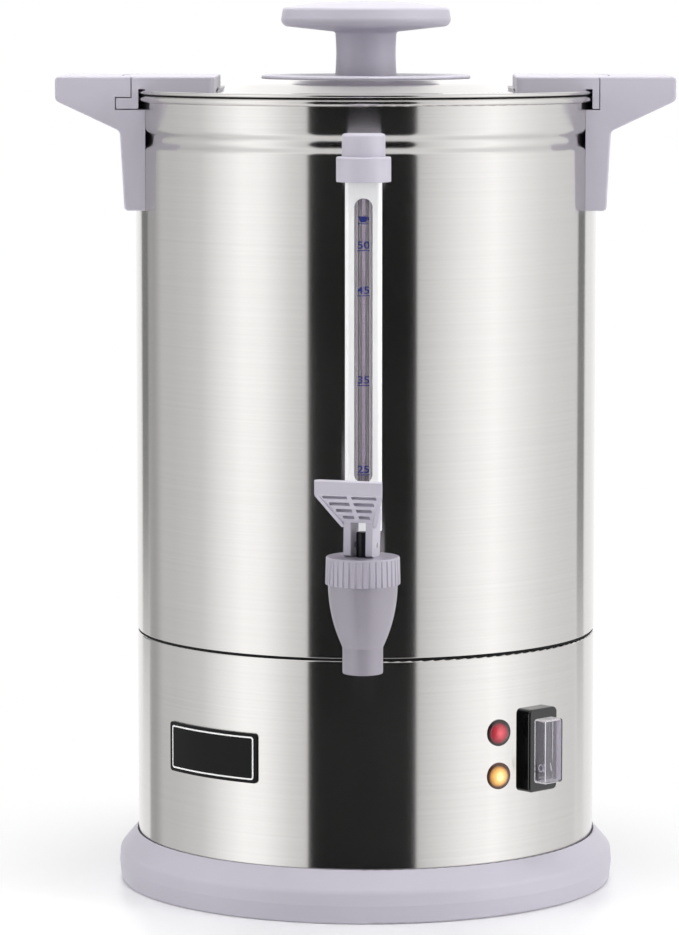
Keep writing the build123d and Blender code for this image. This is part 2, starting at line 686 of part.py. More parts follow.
def handle_screws():
    barrel = rod(TANK_IN - TOUCH, ARM_FOOT_Z, HANDLE_TOP_Z)
    head = rod(HANDLE_SCREW_HEAD, TANK_IN - HANDLE_SCREW_HEAD_H, TANK_R)
    head = fillet(head.edges().group_by(Axis.Z)[0], EDGE_ROUND)
    screws = []
    for place, tip in handle_screw_places():
        screw = (place * head & barrel) + place * rod(HANDLE_SCREW_R, TANK_IN - HANDLE_SCREW_HEAD_H / 2, tip)
        screws += [screw, HALF_TURN * screw]
    return Compound(children=screws)


# ---- lid ----------------------------------------------------------------------------------------

def lid_shell():
    roll_r = RIM_OUT_R - LID_ROLL
    lean = 0.75 * LID_SHEET     # keeps the sheet as thick on its slope
    sheet = outline(
        (0, LID_TOP_Z), (LID_TOP_R, LID_TOP_Z, LID_TOP_BEND), (DOME_KNEE_R, DOME_KNEE_Z, DOME_KNEE_BEND),
        (DOME_FOOT_R, LID_Z, DOME_FOOT_BEND), (roll_r, LID_Z), (roll_r, LID_UNDER_Z),
        (DOME_FOOT_R - lean, LID_UNDER_Z, DOME_FOOT_BEND + LID_SHEET),
        (DOME_KNEE_R - lean / 2, DOME_KNEE_Z - LID_SHEET, DOME_KNEE_BEND - LID_SHEET),
        (LID_TOP_R, LID_ROOF_Z, LID_TOP_BEND), (0, LID_ROOF_Z))
    body = turned(sheet + Pos(roll_r, LID_UNDER_Z + LID_ROLL) * Circle(LID_ROLL))
    holes = [rod(KNOB_SCREW_R + FIT, LID_ROOF_Z - PAST, LID_TOP_Z + PAST)]
    for azimuth in ear_screw_azimuths():
        holes.append(Rot(0, 0, azimuth) * Pos(EAR_SCREW_CIRCLE, 0)
                     * rod(EAR_SCREW_R + FIT, LID_UNDER_Z - PAST, LID_Z + PAST))
    return body - holes


def ear_screw_azimuths():
    return [side + turn for side in (0, 180) for turn in (-EAR_SCREW_AZ, EAR_SCREW_AZ)]


def lid_ear():
    """The lid's ear on the +X side, with its lock tongue at the +Y end."""
    plan = outline((EAR_IN_X, -HANDLE_HALF, EAR_ROUND), (LEG_OUT_R + PAST, -HANDLE_HALF),
                   (LEG_OUT_R + PAST, HANDLE_HALF), (EAR_IN_X, HANDLE_HALF, EAR_ROUND))
    slab = (Pos(0, 0, LID_Z) * extrude(plan, HANDLE_TOP_Z - LID_Z)) & rod(LEG_OUT_R, LID_Z, HANDLE_TOP_Z)
    slab = fillet(slab.edges().group_by(Axis.Z)[-1], EDGE_ROUND)
    strip = block((0, LEG_OUT_R), (-HANDLE_HALF, HANDLE_HALF), (LEG_FOOT_Z, LID_Z + PAST))
    leg = strip & pipe(LEG_OUT_R, LEG_IN_R, LEG_FOOT_Z, LID_Z + PAST)
    tongue = wedge(LEG_OUT_R - PAST, TONGUE_R, LEG_FOOT_Z, TONGUE_TOP_Z, TONGUE_AZ, GROOVE_AZ)
    tongue = tongue & block((0, TONGUE_R), (0, HANDLE_HALF), (LEG_FOOT_Z, LID_Z))
    roll_room = pipe(LEG_IN_R, RIM_OUT_R - 2 * LID_ROLL - EAR_ROOM, LID_Z - PAST,
                     LID_UNDER_Z + 2 * LID_ROLL + EAR_ROOM)
    side_room = 2.5 * EAR_ROOM
    dome_room = turned(outline(
        (0, LID_UNDER_Z), (DOME_FOOT_R + side_room, LID_UNDER_Z), (DOME_KNEE_R + side_room, DOME_KNEE_Z + EAR_ROOM),
        (LID_TOP_R + side_room, LID_TOP_Z + EAR_ROOM), (0, LID_TOP_Z + EAR_ROOM)))
    ear = slab + leg + tongue - roll_room - dome_room
    for turn in (-EAR_SCREW_AZ, EAR_SCREW_AZ):
        ear -= Rot(0, 0, turn) * Pos(EAR_SCREW_CIRCLE, 0) * rod(EAR_SCREW_R + FIT, LID_Z - PAST, EAR_SCREW_TIP_Z + FIT)
    return ear


def ear_screws():
    screw = Pos(0, 0, LID_UNDER_Z) * pan_screw(
        EAR_SCREW_R, EAR_SCREW_HEAD, EAR_SCREW_HEAD_H, EAR_SCREW_TIP_Z - LID_UNDER_Z)
    return Compound(children=[Rot(0, 0, azimuth) * Pos(EAR_SCREW_CIRCLE, 0, 0) * screw
                              for azimuth in ear_screw_azimuths()])


def lid_seal():
    """Silicone ring: a plug inside the tank's mouth and a thin lip between rim and lid."""
    low, high = RIM_Z + FIT, LID_UNDER_Z - FIT
    plug_r = TANK_IN - SEAL_GAP
    rim_r = RIM_OUT_R - SEAL_EDGE
    return turned(outline((plug_r - SEAL_LIP, low - SEAL_SKIRT), (plug_r, low - SEAL_SKIRT, CRISP),
                          (plug_r, low), (rim_r, low), (rim_r, high), (plug_r - SEAL_LIP, high)))


def knob_flange():
    disc = turned(outline((0, LID_TOP_Z), (KNOB_FLANGE_R, LID_TOP_Z, CRISP),
                          (KNOB_FLANGE_R - KNOB_FLANGE_EDGE, KNOB_FOOT_Z, SOFT), (0, KNOB_FOOT_Z)))
    return disc - rod(KNOB_SCREW_R + FIT, LID_TOP_Z - PAST, KNOB_FOOT_Z + PAST)


def knob():
    middle = (KNOB_FOOT_Z + KNOB_UNDER_Z) / 2
    body = turned(outline(
        (0, KNOB_FOOT_Z), (KNOB_STEM_R, KNOB_FOOT_Z), (KNOB_STEM_R - KNOB_WAIST, middle, KNOB_WAIST_BEND),
        (KNOB_STEM_R, KNOB_UNDER_Z, ROUND), (KNOB_R, KNOB_SIDE_FOOT_Z, KNOB_BELLY_EDGE),
        (KNOB_R - KNOB_DRAFT, KNOB_SIDE_Z, KNOB_EDGE), (KNOB_CROWN_R, KNOB_TOP_Z - KNOB_CROWN, KNOB_CROWN_BEND),
        (0, KNOB_TOP_Z)))
    return body - rod(KNOB_SCREW_R + FIT, KNOB_FOOT_Z - PAST, KNOB_SCREW_TIP_Z + SCREW_END)


def knob_screw():
    return Pos(0, 0, LID_ROOF_Z) * pan_screw(
        KNOB_SCREW_R, KNOB_SCREW_HEAD, KNOB_SCREW_HEAD_H, KNOB_SCREW_TIP_Z - LID_ROOF_Z)


# ---- water gauge --------------------------------------------------------------------------------

def gauge_shield():
    """Bright channel that guards the glass, with a window slot and a sleeve at its foot."""
    outer = outline((-SHIELD_HALF, -SHIELD_DEEP, SHIELD_ROUND), (SHIELD_HALF, -SHIELD_DEEP, SHIELD_ROUND),
                    (SHIELD_HALF, SHIELD_DEEP), (-SHIELD_HALF, SHIELD_DEEP))
    inner_half = SHIELD_HALF - SHIELD_T
    inner = outline((-inner_half, SHIELD_T - SHIELD_DEEP, SHIELD_ROUND - SHIELD_T),
                    (inner_half, SHIELD_T - SHIELD_DEEP, SHIELD_ROUND - SHIELD_T),
                    (inner_half, SHIELD_DEEP + PAST), (-inner_half, SHIELD_DEEP + PAST))
    body = Pos(0, 0, SHIELD_Z) * extrude(outer, SHIELD_TOP_Z - SHIELD_Z)
    body -= Pos(0, 0, SHIELD_Z + SHIELD_T) * extrude(inner, SHIELD_TOP_Z - SHIELD_Z)
    slot_low, slot_high = SLOT_Z
    slot = Plane.XZ * Pos(0, (slot_low + slot_high) / 2) * SlotOverall(slot_high - slot_low, SLOT_W, rotation=90)
    body -= extrude(slot, 2 * SHIELD_DEEP)
    body += rod(SLEEVE_R, GLASS_FOOT_Z + SLEEVE_LIFT, SHIELD_Z + SHIELD_T)
    body -= rod(GLASS_R + FIT, GLASS_FOOT_Z, SHIELD_Z + 2 * SHIELD_T)
    return AT_GAUGE * body


def gauge_glass():
    return AT_GAUGE * pipe(GLASS_R, GLASS_R - GLASS_WALL, GLASS_FOOT_Z, GLASS_TOP_Z)


def gauge_cap():
    body = turned(outline((0, CAP_FOOT_Z), (CAP_LOW_R, CAP_FOOT_Z, CRISP), (CAP_LOW_R, CAP_STEP_Z, SOFT),
                          (CAP_HIGH_R, CAP_STEP_Z), (CAP_HIGH_R, CAP_TOP_Z, ROUND), (0, CAP_TOP_Z)))
    body -= rod(CAP_LOW_R - CAP_WALL, CAP_FOOT_Z - PAST, CAP_STEP_Z - CAP_WALL)
    body -= rod(CAP_BORE_R, CAP_FOOT_Z, CAP_BORE_Z)
    return AT_GAUGE * body


def gauge_seals():
    """A cup on the glass's top end and a washer under its foot."""
    foot = CAP_STEP_Z - CAP_WALL - SHIELD_T
    cup = rod(CAP_BORE_R - FIT, foot, CAP_BORE_Z - FIT) - rod(GLASS_R + FIT, foot - PAST, GLASS_TOP_Z)
    washer = pipe(SLEEVE_R, GAUGE_DUCT_R, BLOCK_SEAT_Z, GLASS_FOOT_Z)
    return AT_GAUGE * Compound(children=[cup, washer])


def gauge_block():
    """Moulded block on the shank that feeds coffee up into the glass."""
    body = out_from_axis(-90, SHANK_Z) * rod(BLOCK_R, BLOCK_BACK_R, TAP_BACK_R)
    body += AT_GAUGE * rod(BLOCK_BOSS_R, SHANK_Z, BLOCK_TOP_Z)
    body -= out_from_axis(-90, SHANK_Z) * rod(SHANK_R + FIT, BLOCK_BACK_R - PAST, TAP_BACK_R + PAST)
    body -= AT_GAUGE * rod(SLEEVE_R + FIT, BLOCK_SEAT_Z, BLOCK_TOP_Z + PAST)
    body -= AT_GAUGE * rod(GAUGE_DUCT_R, SHANK_Z, BLOCK_TOP_Z)
    return body


# ---- tap ----------------------------------------------------------------------------------------

def tap_shank():
    tube = out_from_axis(-90, SHANK_Z) * pipe(SHANK_R, SHANK_BORE, SHANK_END_R, -TAP_Y)
    tube -= AT_GAUGE * rod(GAUGE_DUCT_R, SHANK_Z, SHANK_Z + SHANK_R + PAST)
    return tube - AT_TAP * rod(CHAMBER_R, SHANK_Z - 2 * SHANK_R, SHANK_Z + 2 * SHANK_R)


def shank_washers():
    """One washer outside the tank wall and one inside, each shaped to the curved wall."""
    place = out_from_axis(-90, SHANK_Z)
    tall = (SHANK_Z - WASHER_R - PAST, SHANK_Z + WASHER_R + PAST)
    outer = place * pipe(WASHER_R, SHANK_R + FIT, TANK_IN, TANK_R + WASHER_T) - rod(TANK_R + TOUCH, *tall)
    inner = (place * pipe(WASHER_R, SHANK_R + FIT, TANK_IN - WASHER_T, TANK_IN)) & rod(TANK_IN - TOUCH, *tall)
    return Compound(children=[outer, inner])


def shank_nut():
    high = TANK_IN - WASHER_T
    return out_from_axis(-90, SHANK_Z) * hex_nut(SHANK_NUT_ACROSS, SHANK_R, high - SHANK_NUT_T, high)


def tap_body():
    thread_top = COLLAR_CEILING_Z - CRISP
    side = Curve() + [
        Line((0, SPOUT_Z), (SPOUT_R, SPOUT_Z)),
        Line((SPOUT_R, SPOUT_Z), (SPOUT_R, SPOUT_TOP_Z)),
        ThreePointArc((SPOUT_R, SPOUT_TOP_Z), (BELLY_R, BELLY_Z), (TAP_R, COLLAR_Z)),
        Line((TAP_R, COLLAR_Z), (THREAD_R, COLLAR_Z)),
        Line((THREAD_R, COLLAR_Z), (THREAD_R, thread_top)),
        Line((THREAD_R, thread_top), (0, thread_top)),
        Line((0, thread_top), (0, SPOUT_Z))]
    body = turned(make_face(side))
    body = AT_TAP * fillet(body.edges().group_by(Axis.Z)[0], SPOUT_EDGE)
    body += out_from_axis(-90, SHANK_Z) * rod(BLOCK_R, TAP_BACK_R, -TAP_Y)
    cavity = turned(outline((0, SEAT_Z), (CUP_PLUG_R - SEAT_EDGE, SEAT_Z), (CHAMBER_R, SEAT_Z + CHAMBER_CONE),
                            (CHAMBER_R, COLLAR_TOP_Z), (0, COLLAR_TOP_Z)))
    body -= AT_TAP * cavity
    body -= AT_TAP * rod(SPOUT_BORE, SPOUT_Z - PAST, SEAT_Z + PAST)
    return body - out_from_axis(-90, SHANK_Z) * rod(SHANK_R + FIT, TAP_BACK_R - PAST, -TAP_Y)


def tap_collar():
    body = turned(outline((0, COLLAR_Z), (COLLAR_R, COLLAR_Z, CRISP),
                          (COLLAR_R - COLLAR_DRAFT, COLLAR_TOP_Z, SOFT), (0, COLLAR_TOP_Z)))
    flute = rod(FLUTE_R, COLLAR_Z - PAST, COLLAR_TOP_Z - COLLAR_BAND)
    body = cut_each(body, ring_of(FLUTE_COUNT, COLLAR_R + FLUTE_OUT, flute))
    body -= rod(THREAD_R + SLIP, COLLAR_Z - PAST, COLLAR_CEILING_Z)
    return AT_TAP * (body - rod(COLLAR_HOLE, COLLAR_CEILING_Z - PAST, COLLAR_TOP_Z + PAST))


def stem_bush():
    """Guide bush and spring rest under the collar's roof; it turns with the lever."""
    return AT_TAP * pipe(BUSH_R, STEM_R + FIT, BUSH_Z, BUSH_TOP_Z)


def tap_stem():
    stem = rod(STEM_R, STEM_FOOT_Z, STEM_TOP_Z) + rod(STEM_BUTTON_R, STEM_FOOT_Z, STEM_FOOT_Z + STEM_BUTTON_H)
    stem = fillet(stem.edges().group_by(Axis.Z)[-1], SOFT)
    bore = Pos(0, 0, PIN_Z) * Rot(90, 0, 0) * Cylinder(PIN_R + FIT, 4 * STEM_R)
    return AT_TAP * LEVER_TURN * (stem - bore)


def seat_cup():
    """Silicone cup: its rim hangs under the bush and its plug closes the spout."""
    low, high = SEAT_Z + FIT, BUSH_Z - FIT
    floor = low + CUP_PLUG_T
    outer = outline((0, low), (CUP_PLUG_R - CUP_T, low, CRISP), (CUP_PLUG_R, floor, SOFT), (CUP_RIM_R, high), (0, high))
    inner = outline((0, floor), (CUP_PLUG_R - CUP_T, floor), (CUP_RIM_R - CUP_T, high + PAST), (0, high + PAST))
    return AT_TAP * (turned(outer) - turned(inner))


def tap_spring():
    low = STEM_FOOT_Z + STEM_BUTTON_H
    height = BUSH_Z - low - 4 * SPRING_WIRE
    path = Helix(pitch=height / SPRING_TURNS, height=height, radius=SPRING_R - 2 * SPRING_WIRE)
    section = Plane(origin=path @ 0, z_dir=path % 0) * Circle(SPRING_WIRE)
    return AT_TAP * Pos(0, 0, low + 2 * SPRING_WIRE) * sweep(section, path)


def cam_point(tilt):
    """A point of the cam that bears on the collar at a tilt in radians, from the pin's centre."""
    rise = PIN_RISE + CAM_RATE * tilt
    return (rise * sin(tilt) + CAM_RATE * cos(tilt), PIN_Z - rise * cos(tilt) + CAM_RATE * sin(tilt))


def lever():
    """Fork, cam heel and ribbed thumb paddle. Drawn pointing along +X with the tap axis at 0."""
    cam_end = radians(TILT + CAM_EXTRA)
    cam = [cam_point(cam_end * step / CAM_STEPS) for step in range(CAM_STEPS + 1)]
    heel = (LEG_FRONT + HEEL_OUT, cam[-1][1] + HEEL_H)
    top_z = ROOT_Z + PADDLE_T
    back_x = LEG_BACK - LEG_LEAN
    fork = make_face(Curve() + [
        Line((LEG_BACK, CAM_Z), cam[0]), Spline(cam), Line(cam[-1], heel), Line(heel, (LEG_FRONT, top_z)),
        Line((LEG_FRONT, top_z), (back_x, top_z)), Line((back_x, top_z), (LEG_BACK, CAM_Z))])
    body = extrude(Plane.XZ * fork, FORK_HALF, both=True)
    body -= block((back_x - PAST, heel[0] + PAST), (-FORK_GAP, FORK_GAP), (CAM_Z - PAST, ROOT_Z))

    slope = (LIP_Z - ROOT_Z) / (LIP_X - LEG_FRONT)
    lift = PADDLE_T * sqrt(1 + slope * slope)
    paddle = outline(
        (LEG_FRONT, ROOT_Z), (LIP_X, LIP_Z, CRISP), (LIP_X, LIP_Z + LIP_H, SOFT), (LIP_X - LIP_T, LIP_Z + LIP_H, ROUND),
        (back_x, ROOT_Z + lift - PADDLE_SAG, PADDLE_BEND), (back_x, ROOT_Z))
    skirt_x = LEG_FRONT - SKIRT_LAP
    skirt = outline((skirt_x, ROOT_Z - SKIRT_DROP, SOFT), (LIP_X, LIP_Z - CRISP, CRISP), (LIP_X, LIP_Z + SKIRT_LAP),
                    (skirt_x, ROOT_Z + SKIRT_LAP))
    wide = extrude(Plane.XZ * paddle, LIP_HALF, both=True)
    walls = extrude(Plane.XZ * skirt, LIP_HALF, both=True)
    half_plan = [(back_x - PAST, -FORK_HALF), (skirt_x, -FORK_HALF - SOFT), (LIP_X - PAST, -LIP_HALF, SOFT),
                 (LIP_X + PAST, -LIP_HALF)]
    plan = outline(*half_plan, *[(x, -y, *bend) for x, y, *bend in reversed(half_plan)])
    tall = 2 * (LIP_Z - CAM_Z)
    shape = Pos(0, 0, CAM_Z) * extrude(plan, tall)
    inside = Pos(0, 0, CAM_Z) * extrude(offset(plan, -SKIRT_T), tall)
    body += (wide & shape) + ((walls - inside) & shape)

    run = hypot(LIP_X - LEG_FRONT, LIP_RISE)
    angle = degrees(atan2(LIP_RISE, LIP_X - LEG_FRONT))
    pitch = (run - GRIP_START) / GRIP_ROWS
    spread = (LIP_HALF - FORK_HALF) / run
    underside = Pos(LEG_FRONT, 0, ROOT_Z) * Rot(0, -angle, 0)
    for row in range(GRIP_ROWS):
        along = GRIP_START + pitch * (row + 0.5)
        half = FORK_HALF + spread * along - SKIRT_T - GRIP_EDGE
        slot = block((along - GRIP_SLOT / 2, along + GRIP_SLOT / 2), (GRIP_RIB, half), (-PAST, GRIP_DEEP))
        body -= [underside * slot, underside * mirror(slot, Plane.XZ)]
    bore = Pos(0, 0, PIN_Z) * Rot(90, 0, 0) * Cylinder(PIN_R + FIT, 4 * FORK_HALF)
    return AT_TAP * LEVER_TURN * (body - bore)


def lever_pin():
    pin = Rot(90, 0, 0) * Cylinder(PIN_R, 2 * FORK_HALF)
    return AT_TAP * LEVER_TURN * Pos(0, 0, PIN_Z) * pin


# ---- controls on the base shell -----------------------------------------------------------------

def switch_housing():
    width, height, proud = BEZEL
    body_w, body_h, body_deep = SWITCH_BODY
    pocket_w, pocket_h, pocket_deep = POCKET
    place = out_from_axis(SWITCH_AZ, SWITCH_Z)
    bezel = tablet(width, height, SHELL_IN, SWITCH_FACE_R, BEZEL_BEND)
    bezel = place * fillet(bezel.edges().group_by(Axis.Z)[-1], BEZEL_EDGE)
    bezel -= rod(TANK_R + TOUCH, SWITCH_Z - height, SWITCH_Z + height)
    inner = place * tablet(body_w, body_h, TANK_R - body_deep, TANK_R + proud / 4, SOFT)
    pocket = tablet(pocket_w, pocket_h, SWITCH_FACE_R - pocket_deep, SWITCH_FACE_R + PAST, SOFT)
    span = pocket_w + 2 * ROCKER_PIN_BITE + SLIP
    pivot = Pos(0, 0, ROCKER_PIVOT_R) * Rot(90, 0, 0) * Cylinder(ROCKER_PIN_R + FIT, span)
    return bezel + inner - place * (pocket + pivot)


def switch_rocker():
    """Drawn with x down the switch and z outwards; the top half is pressed in."""
    back = ROCKER_PIVOT_R - ROCKER_DEEP / 2
    front = SWITCH_FACE_R + ROCKER_PROUD
    side = outline((-ROCKER_HALF, back, SOFT), (ROCKER_HALF, back, SOFT), (ROCKER_HALF, front, CRISP),
                   (0, front - ROCKER_BULGE, ROCKER_BEND), (-ROCKER_HALF, front, CRISP))
    body = extrude(Plane.XZ * side, ROCKER_W / 2, both=True)
    pins = Pos(0, 0, ROCKER_PIVOT_R) * Rot(90, 0, 0) * Cylinder(ROCKER_PIN_R, POCKET[0] + 2 * ROCKER_PIN_BITE)
    tilted = Pos(0, 0, ROCKER_PIVOT_R) * Rot(0, -ROCKER_TILT, 0) * Pos(0, 0, -ROCKER_PIVOT_R) * (body + pins)
    return out_from_axis(SWITCH_AZ, SWITCH_Z) * tilted


def switch_cover():
    width, height, proud = COVER
    body = tablet(width, height, SWITCH_FACE_R, SWITCH_FACE_R + proud, COVER_T + CRISP)
    body = fillet(body.edges().group_by(Axis.Z)[-1], COVER_T)
    body -= tablet(width - 2 * COVER_T, height - 2 * COVER_T, SWITCH_FACE_R - PAST, SWITCH_FACE_R + proud - COVER_T,
                   CRISP)
    return out_from_axis(SWITCH_AZ, SWITCH_Z) * body


def indicator(height):
    """A lens with a barrel through the shell and a collar that is shaped to the curved wall."""
    rim = TANK_R + LAMP_RIM
    lens = turned(outline(
        (0, LAMP_IN_R), (LAMP_BODY_R, LAMP_IN_R), (LAMP_BODY_R, SHELL_IN), (LAMP_R, SHELL_IN), (LAMP_R, rim, SOFT),
        (LAMP_R - LAMP_RIM_W, rim + SLIP, CRISP), (LAMP_DOME_R, rim + LAMP_DOME, LAMP_DOME_BEND), (0, rim + LAMP_DOME)))
    place = out_from_axis(LAMP_AZ, height)
    wall = place * pipe(LAMP_R + PAST, LAMP_BODY_R, SHELL_IN - PAST, TANK_R + PAST)
    return place * lens - (wall & rod(TANK_R + TOUCH, height - 2 * LAMP_R, height + 2 * LAMP_R))


def indicator_nuts():
    high = sqrt(SHELL_IN ** 2 - LAMP_NUT_R ** 2) - TOUCH
    nut = pipe(LAMP_NUT_R, LAMP_BODY_R + FIT, high - LAMP_NUT_T, high)
    return Compound(children=[out_from_axis(LAMP_AZ, z) * nut for z in LAMP_Z])


def badge_plate():
    width, height, thick = BADGE
    blank = out_from_axis(BADGE_AZ, BADGE_Z) * tablet(width, height, TANK_R - THROUGH, TANK_R + THROUGH, BADGE_BEND)
    return blank & pipe(TANK_R + TOUCH + thick, TANK_R + TOUCH, BADGE_Z - height, BADGE_Z + height)


def cord_gland():
    place = out_from_axis(90, GLAND_Z)
    step_r = TANK_R + GLAND_FLANGE_T
    flange = turned(outline(
        (0, SHELL_IN), (GLAND_FLANGE_R, SHELL_IN), (GLAND_FLANGE_R, step_r, SOFT), (GLAND_R, step_r, CRISP),
        (CORD_R + GLAND_NECK_T, GLAND_OUT_R, SOFT), (0, GLAND_OUT_R)))
    flange = place * flange - rod(TANK_R + TOUCH, GLAND_Z - 2 * GLAND_FLANGE_R, GLAND_Z + 2 * GLAND_FLANGE_R)
    body = flange + place * rod(GLAND_R, GLAND_IN_R, TANK_R + PAST)
    return body - place * rod(CORD_R, GLAND_IN_R - PAST, GLAND_OUT_R + PAST)


def gland_nut():
    high = sqrt(SHELL_IN ** 2 - GLAND_FLANGE_R ** 2) - TOUCH
    return out_from_axis(90, GLAND_Z) * hex_nut(GLAND_NUT_ACROSS, GLAND_R, high - GLAND_NUT_T, high)


# ---- heating and wiring points ------------------------------------------------------------------

def main_heater():
    plate = turned(outline((0, HEATER_FOOT), (HEATER_R, HEATER_FOOT, SOFT), (HEATER_R, WELL_UNDER), (0, WELL_UNDER)))
    element = turned(Pos(ELEMENT_RING, HEATER_FOOT) * Circle(ELEMENT_R))
    ends = [Pos(x, -ELEMENT_RING, 0) * rod(ELEMENT_END_R, HEATER_FOOT - ELEMENT_END_H, HEATER_FOOT)
            for x in (-ELEMENT_END_X, ELEMENT_END_X)]
    return plate + element + ends


def heater_clamp():
    length, width, thick = CLAMP
    bar = block((-length / 2, length / 2), (-width / 2, width / 2), (CLAMP_TOP - thick, CLAMP_TOP))
    hole = rod(STUD_R + SLIP, CLAMP_TOP - 2 * thick, CLAMP_TOP + thick)
    return bar - [Pos(x, 0, 0) * hole for x in (-STUD_X, STUD_X)]


def heater_studs():
    low = CLAMP_TOP - CLAMP[2] - NUT_H - SCREW_TAIL
    stud = rod(STUD_R, low, FLOOR_UNDER) + rod(2 * STUD_R, FLOOR_UNDER - STUD_FOOT_H, FLOOR_UNDER)
    return Compound(children=[Pos(x, 0, 0) * stud for x in (-STUD_X, STUD_X)])


def heater_nuts():
    high = CLAMP_TOP - CLAMP[2]
    nut = hex_nut(NUT_ACROSS, STUD_R, high - NUT_H, high)
    return Compound(children=[Pos(x, 0, 0) * nut for x in (-STUD_X, STUD_X)])


def keep_warm_heater():
    length, width, thick = WARMER
    tab_w, tab_t, tab_h = BLADE
    foot = FLOOR_UNDER - thick
    plate = Pos(0, 0, foot) * extrude(RectangleRounded(length, width, 2 * ROUND), thick)
    tab = block((-tab_w / 2, tab_w / 2), (-tab_t / 2, tab_t / 2), (foot - tab_h, foot))
    return Pos(*WARMER_AT, 0) * (plate + [Pos(x, 0, 0) * tab for x in (-WARMER_TAB_X, WARMER_TAB_X)])


def sensor(place):
    """A snap-disc sensor: metal cap against the floor, ears at its base and two blade tabs."""
    low = FLOOR_UNDER - SENSOR_H
    cap = FLOOR_UNDER - SENSOR_CAP_H
    tab_w, tab_t, tab_h = BLADE
    body = turned(outline((0, low), (SENSOR_R - SENSOR_STEP, low, SOFT), (SENSOR_R - SENSOR_STEP, cap),
                          (SENSOR_R, cap), (SENSOR_R, FLOOR_UNDER, CRISP), (0, FLOOR_UNDER)))
    ears = Pos(0, 0, FLOOR_UNDER - SENSOR_EAR_DROP) * extrude(SlotOverall(SENSOR_EARS, SENSOR_R), SENSOR_EAR_T)
    ears -= [Pos(x, 0, 0) * rod(SENSOR_HOLE_R, low, FLOOR_UNDER) for x in (-SENSOR_HOLE_X, SENSOR_HOLE_X)]
    tab = block((-tab_t / 2, tab_t / 2), (-tab_w / 2, tab_w / 2), (low - tab_h, low))
    return Pos(*place, 0) * (body + ears + [Pos(x, 0, 0) * tab for x in (-SENSOR_TAB_X, SENSOR_TAB_X)])


def terminal_block():
    length, width, height = TERMINALS
    top = LEDGE_Z + height
    well_r, well_deep = TERMINAL_WELL
    wire_r, wire_rise = TERMINAL_WIRE
    body = block((-length / 2, length / 2), (-width / 2, width / 2), (LEDGE_Z, top))
    pitch = length / TERMINAL_COUNT
    for step in range(TERMINAL_COUNT):
        x = pitch * (step + 0.5) - length / 2
        body -= Pos(x, 0, 0) * rod(well_r, top - well_deep, top + PAST)
        body -= Pos(x, 0, LEDGE_Z + wire_rise) * Rot(90, 0, 0) * Cylinder(wire_r, 2 * width)
    return Rot(0, 0, TERMINALS_AZ) * Pos(LEDGE_IN - TERMINALS_IN, 0, 0) * Rot(0, 0, -TERMINALS_AZ) * body


def earth_stud():
    across, height = EARTH_HEX
    stud = rod(EARTH_R, LEDGE_Z, LEDGE_Z + EARTH_H) + hexagon(across, LEDGE_Z, LEDGE_Z + height)
    return Rot(0, 0, EARTH_AZ) * Pos(LEDGE_IN - EARTH_IN, 0, 0) * stud


# ---- percolator ---------------------------------------------------------------------------------

def pump_tube():
    low = WELL_Z + PUMP_SEAT
    tube = rod(PUMP_R, low, PUMP_TOP_Z) + rod(STOP_R, BASKET_Z - STOP_T, BASKET_Z)
    return tube - rod(PUMP_R - PUMP_WALL, low - PAST, PUMP_TOP_Z + PAST)


def pump_foot():
    """A dome that stands in the well, with an inlet in its floor and a neck round the tube's end."""
    low = WELL_Z + PUMP_GAP
    seat = WELL_Z + PUMP_SEAT
    neck = PUMP_R + FIT + PUMP_PLATE
    high = low + PUMP_FOOT_H
    skirt_in = PUMP_FOOT_R - PUMP_EDGE
    body = turned(outline(
        (0, low), (PUMP_FOOT_R, low, CRISP), (PUMP_FOOT_R, low + PUMP_SKIRT, SOFT),
        (neck, low + PUMP_SHOULDER, PUMP_EDGE),
        (neck, high), (0, high)))
    body -= turned(outline(
        (0, low + PUMP_PLATE), (skirt_in, low + PUMP_PLATE), (skirt_in, low + PUMP_SKIRT - CRISP, CRISP),
        (PUMP_R - PUMP_WALL, seat), (0, seat)))
    body -= rod(PUMP_INLET_R, low - PAST, low + 2 * PUMP_PLATE)
    body -= rod(PUMP_R + FIT, seat, high + PAST)
    return body - rod(PUMP_R - PUMP_WALL, low + PUMP_SKIRT, high)


def pump_valve():
    low = WELL_Z + PUMP_GAP + PUMP_PLATE + FIT
    notch = rod(VALVE_NOTCH_R, low - PAST, low + VALVE_T + PAST)
    return cut_each(rod(VALVE_R, low, low + VALVE_T), ring_of(VALVE_NOTCHES, VALVE_R, notch))


def perforated(disc, low, radii, counts):
    """Cut the tube's hole and rings of small holes through a thin disc that lies at a height."""
    disc -= rod(PUMP_R + SLIP, low - PAST, low + BASKET_WALL + PAST)
    hole = rod(BASKET_HOLE_R, low - PAST, low + BASKET_WALL + PAST)
    for radius, count in zip(radii, counts):
        disc = cut_each(disc, ring_of(count, radius, hole))
    return disc


def filter_basket():
    inner = BASKET_R - BASKET_WALL
    lip = BASKET_R + BASKET_RIM
    floor = BASKET_Z + BASKET_WALL
    body = turned(outline(
        (0, BASKET_Z), (BASKET_R, BASKET_Z, BASKET_BEND + BASKET_WALL), (BASKET_R, BASKET_TOP_Z - 2 * PAST),
        (lip, BASKET_TOP_Z - PAST, CRISP), (lip, BASKET_TOP_Z, CRISP), (inner, BASKET_TOP_Z),
        (inner, floor, BASKET_BEND), (0, floor)))
    return perforated(body, BASKET_Z, BASKET_RINGS_R, BASKET_HOLE_COUNTS)


def basket_lid():
    """Spreader disc that lies on the basket's rim and lets the water down through its holes."""
    low = BASKET_TOP_Z
    high = low + SPREADER_H
    outer = BASKET_R + BASKET_RIM
    body = turned(outline(
        (0, low), (outer, low), (outer, high, CRISP), (outer - SPREADER_EDGE, high, CRISP),
        (outer - SPREADER_EDGE - BASKET_WALL, low + BASKET_WALL, CRISP), (0, low + BASKET_WALL)))
    return perforated(body, low, SPREADER_RINGS_R, SPREADER_HOLE_COUNTS)


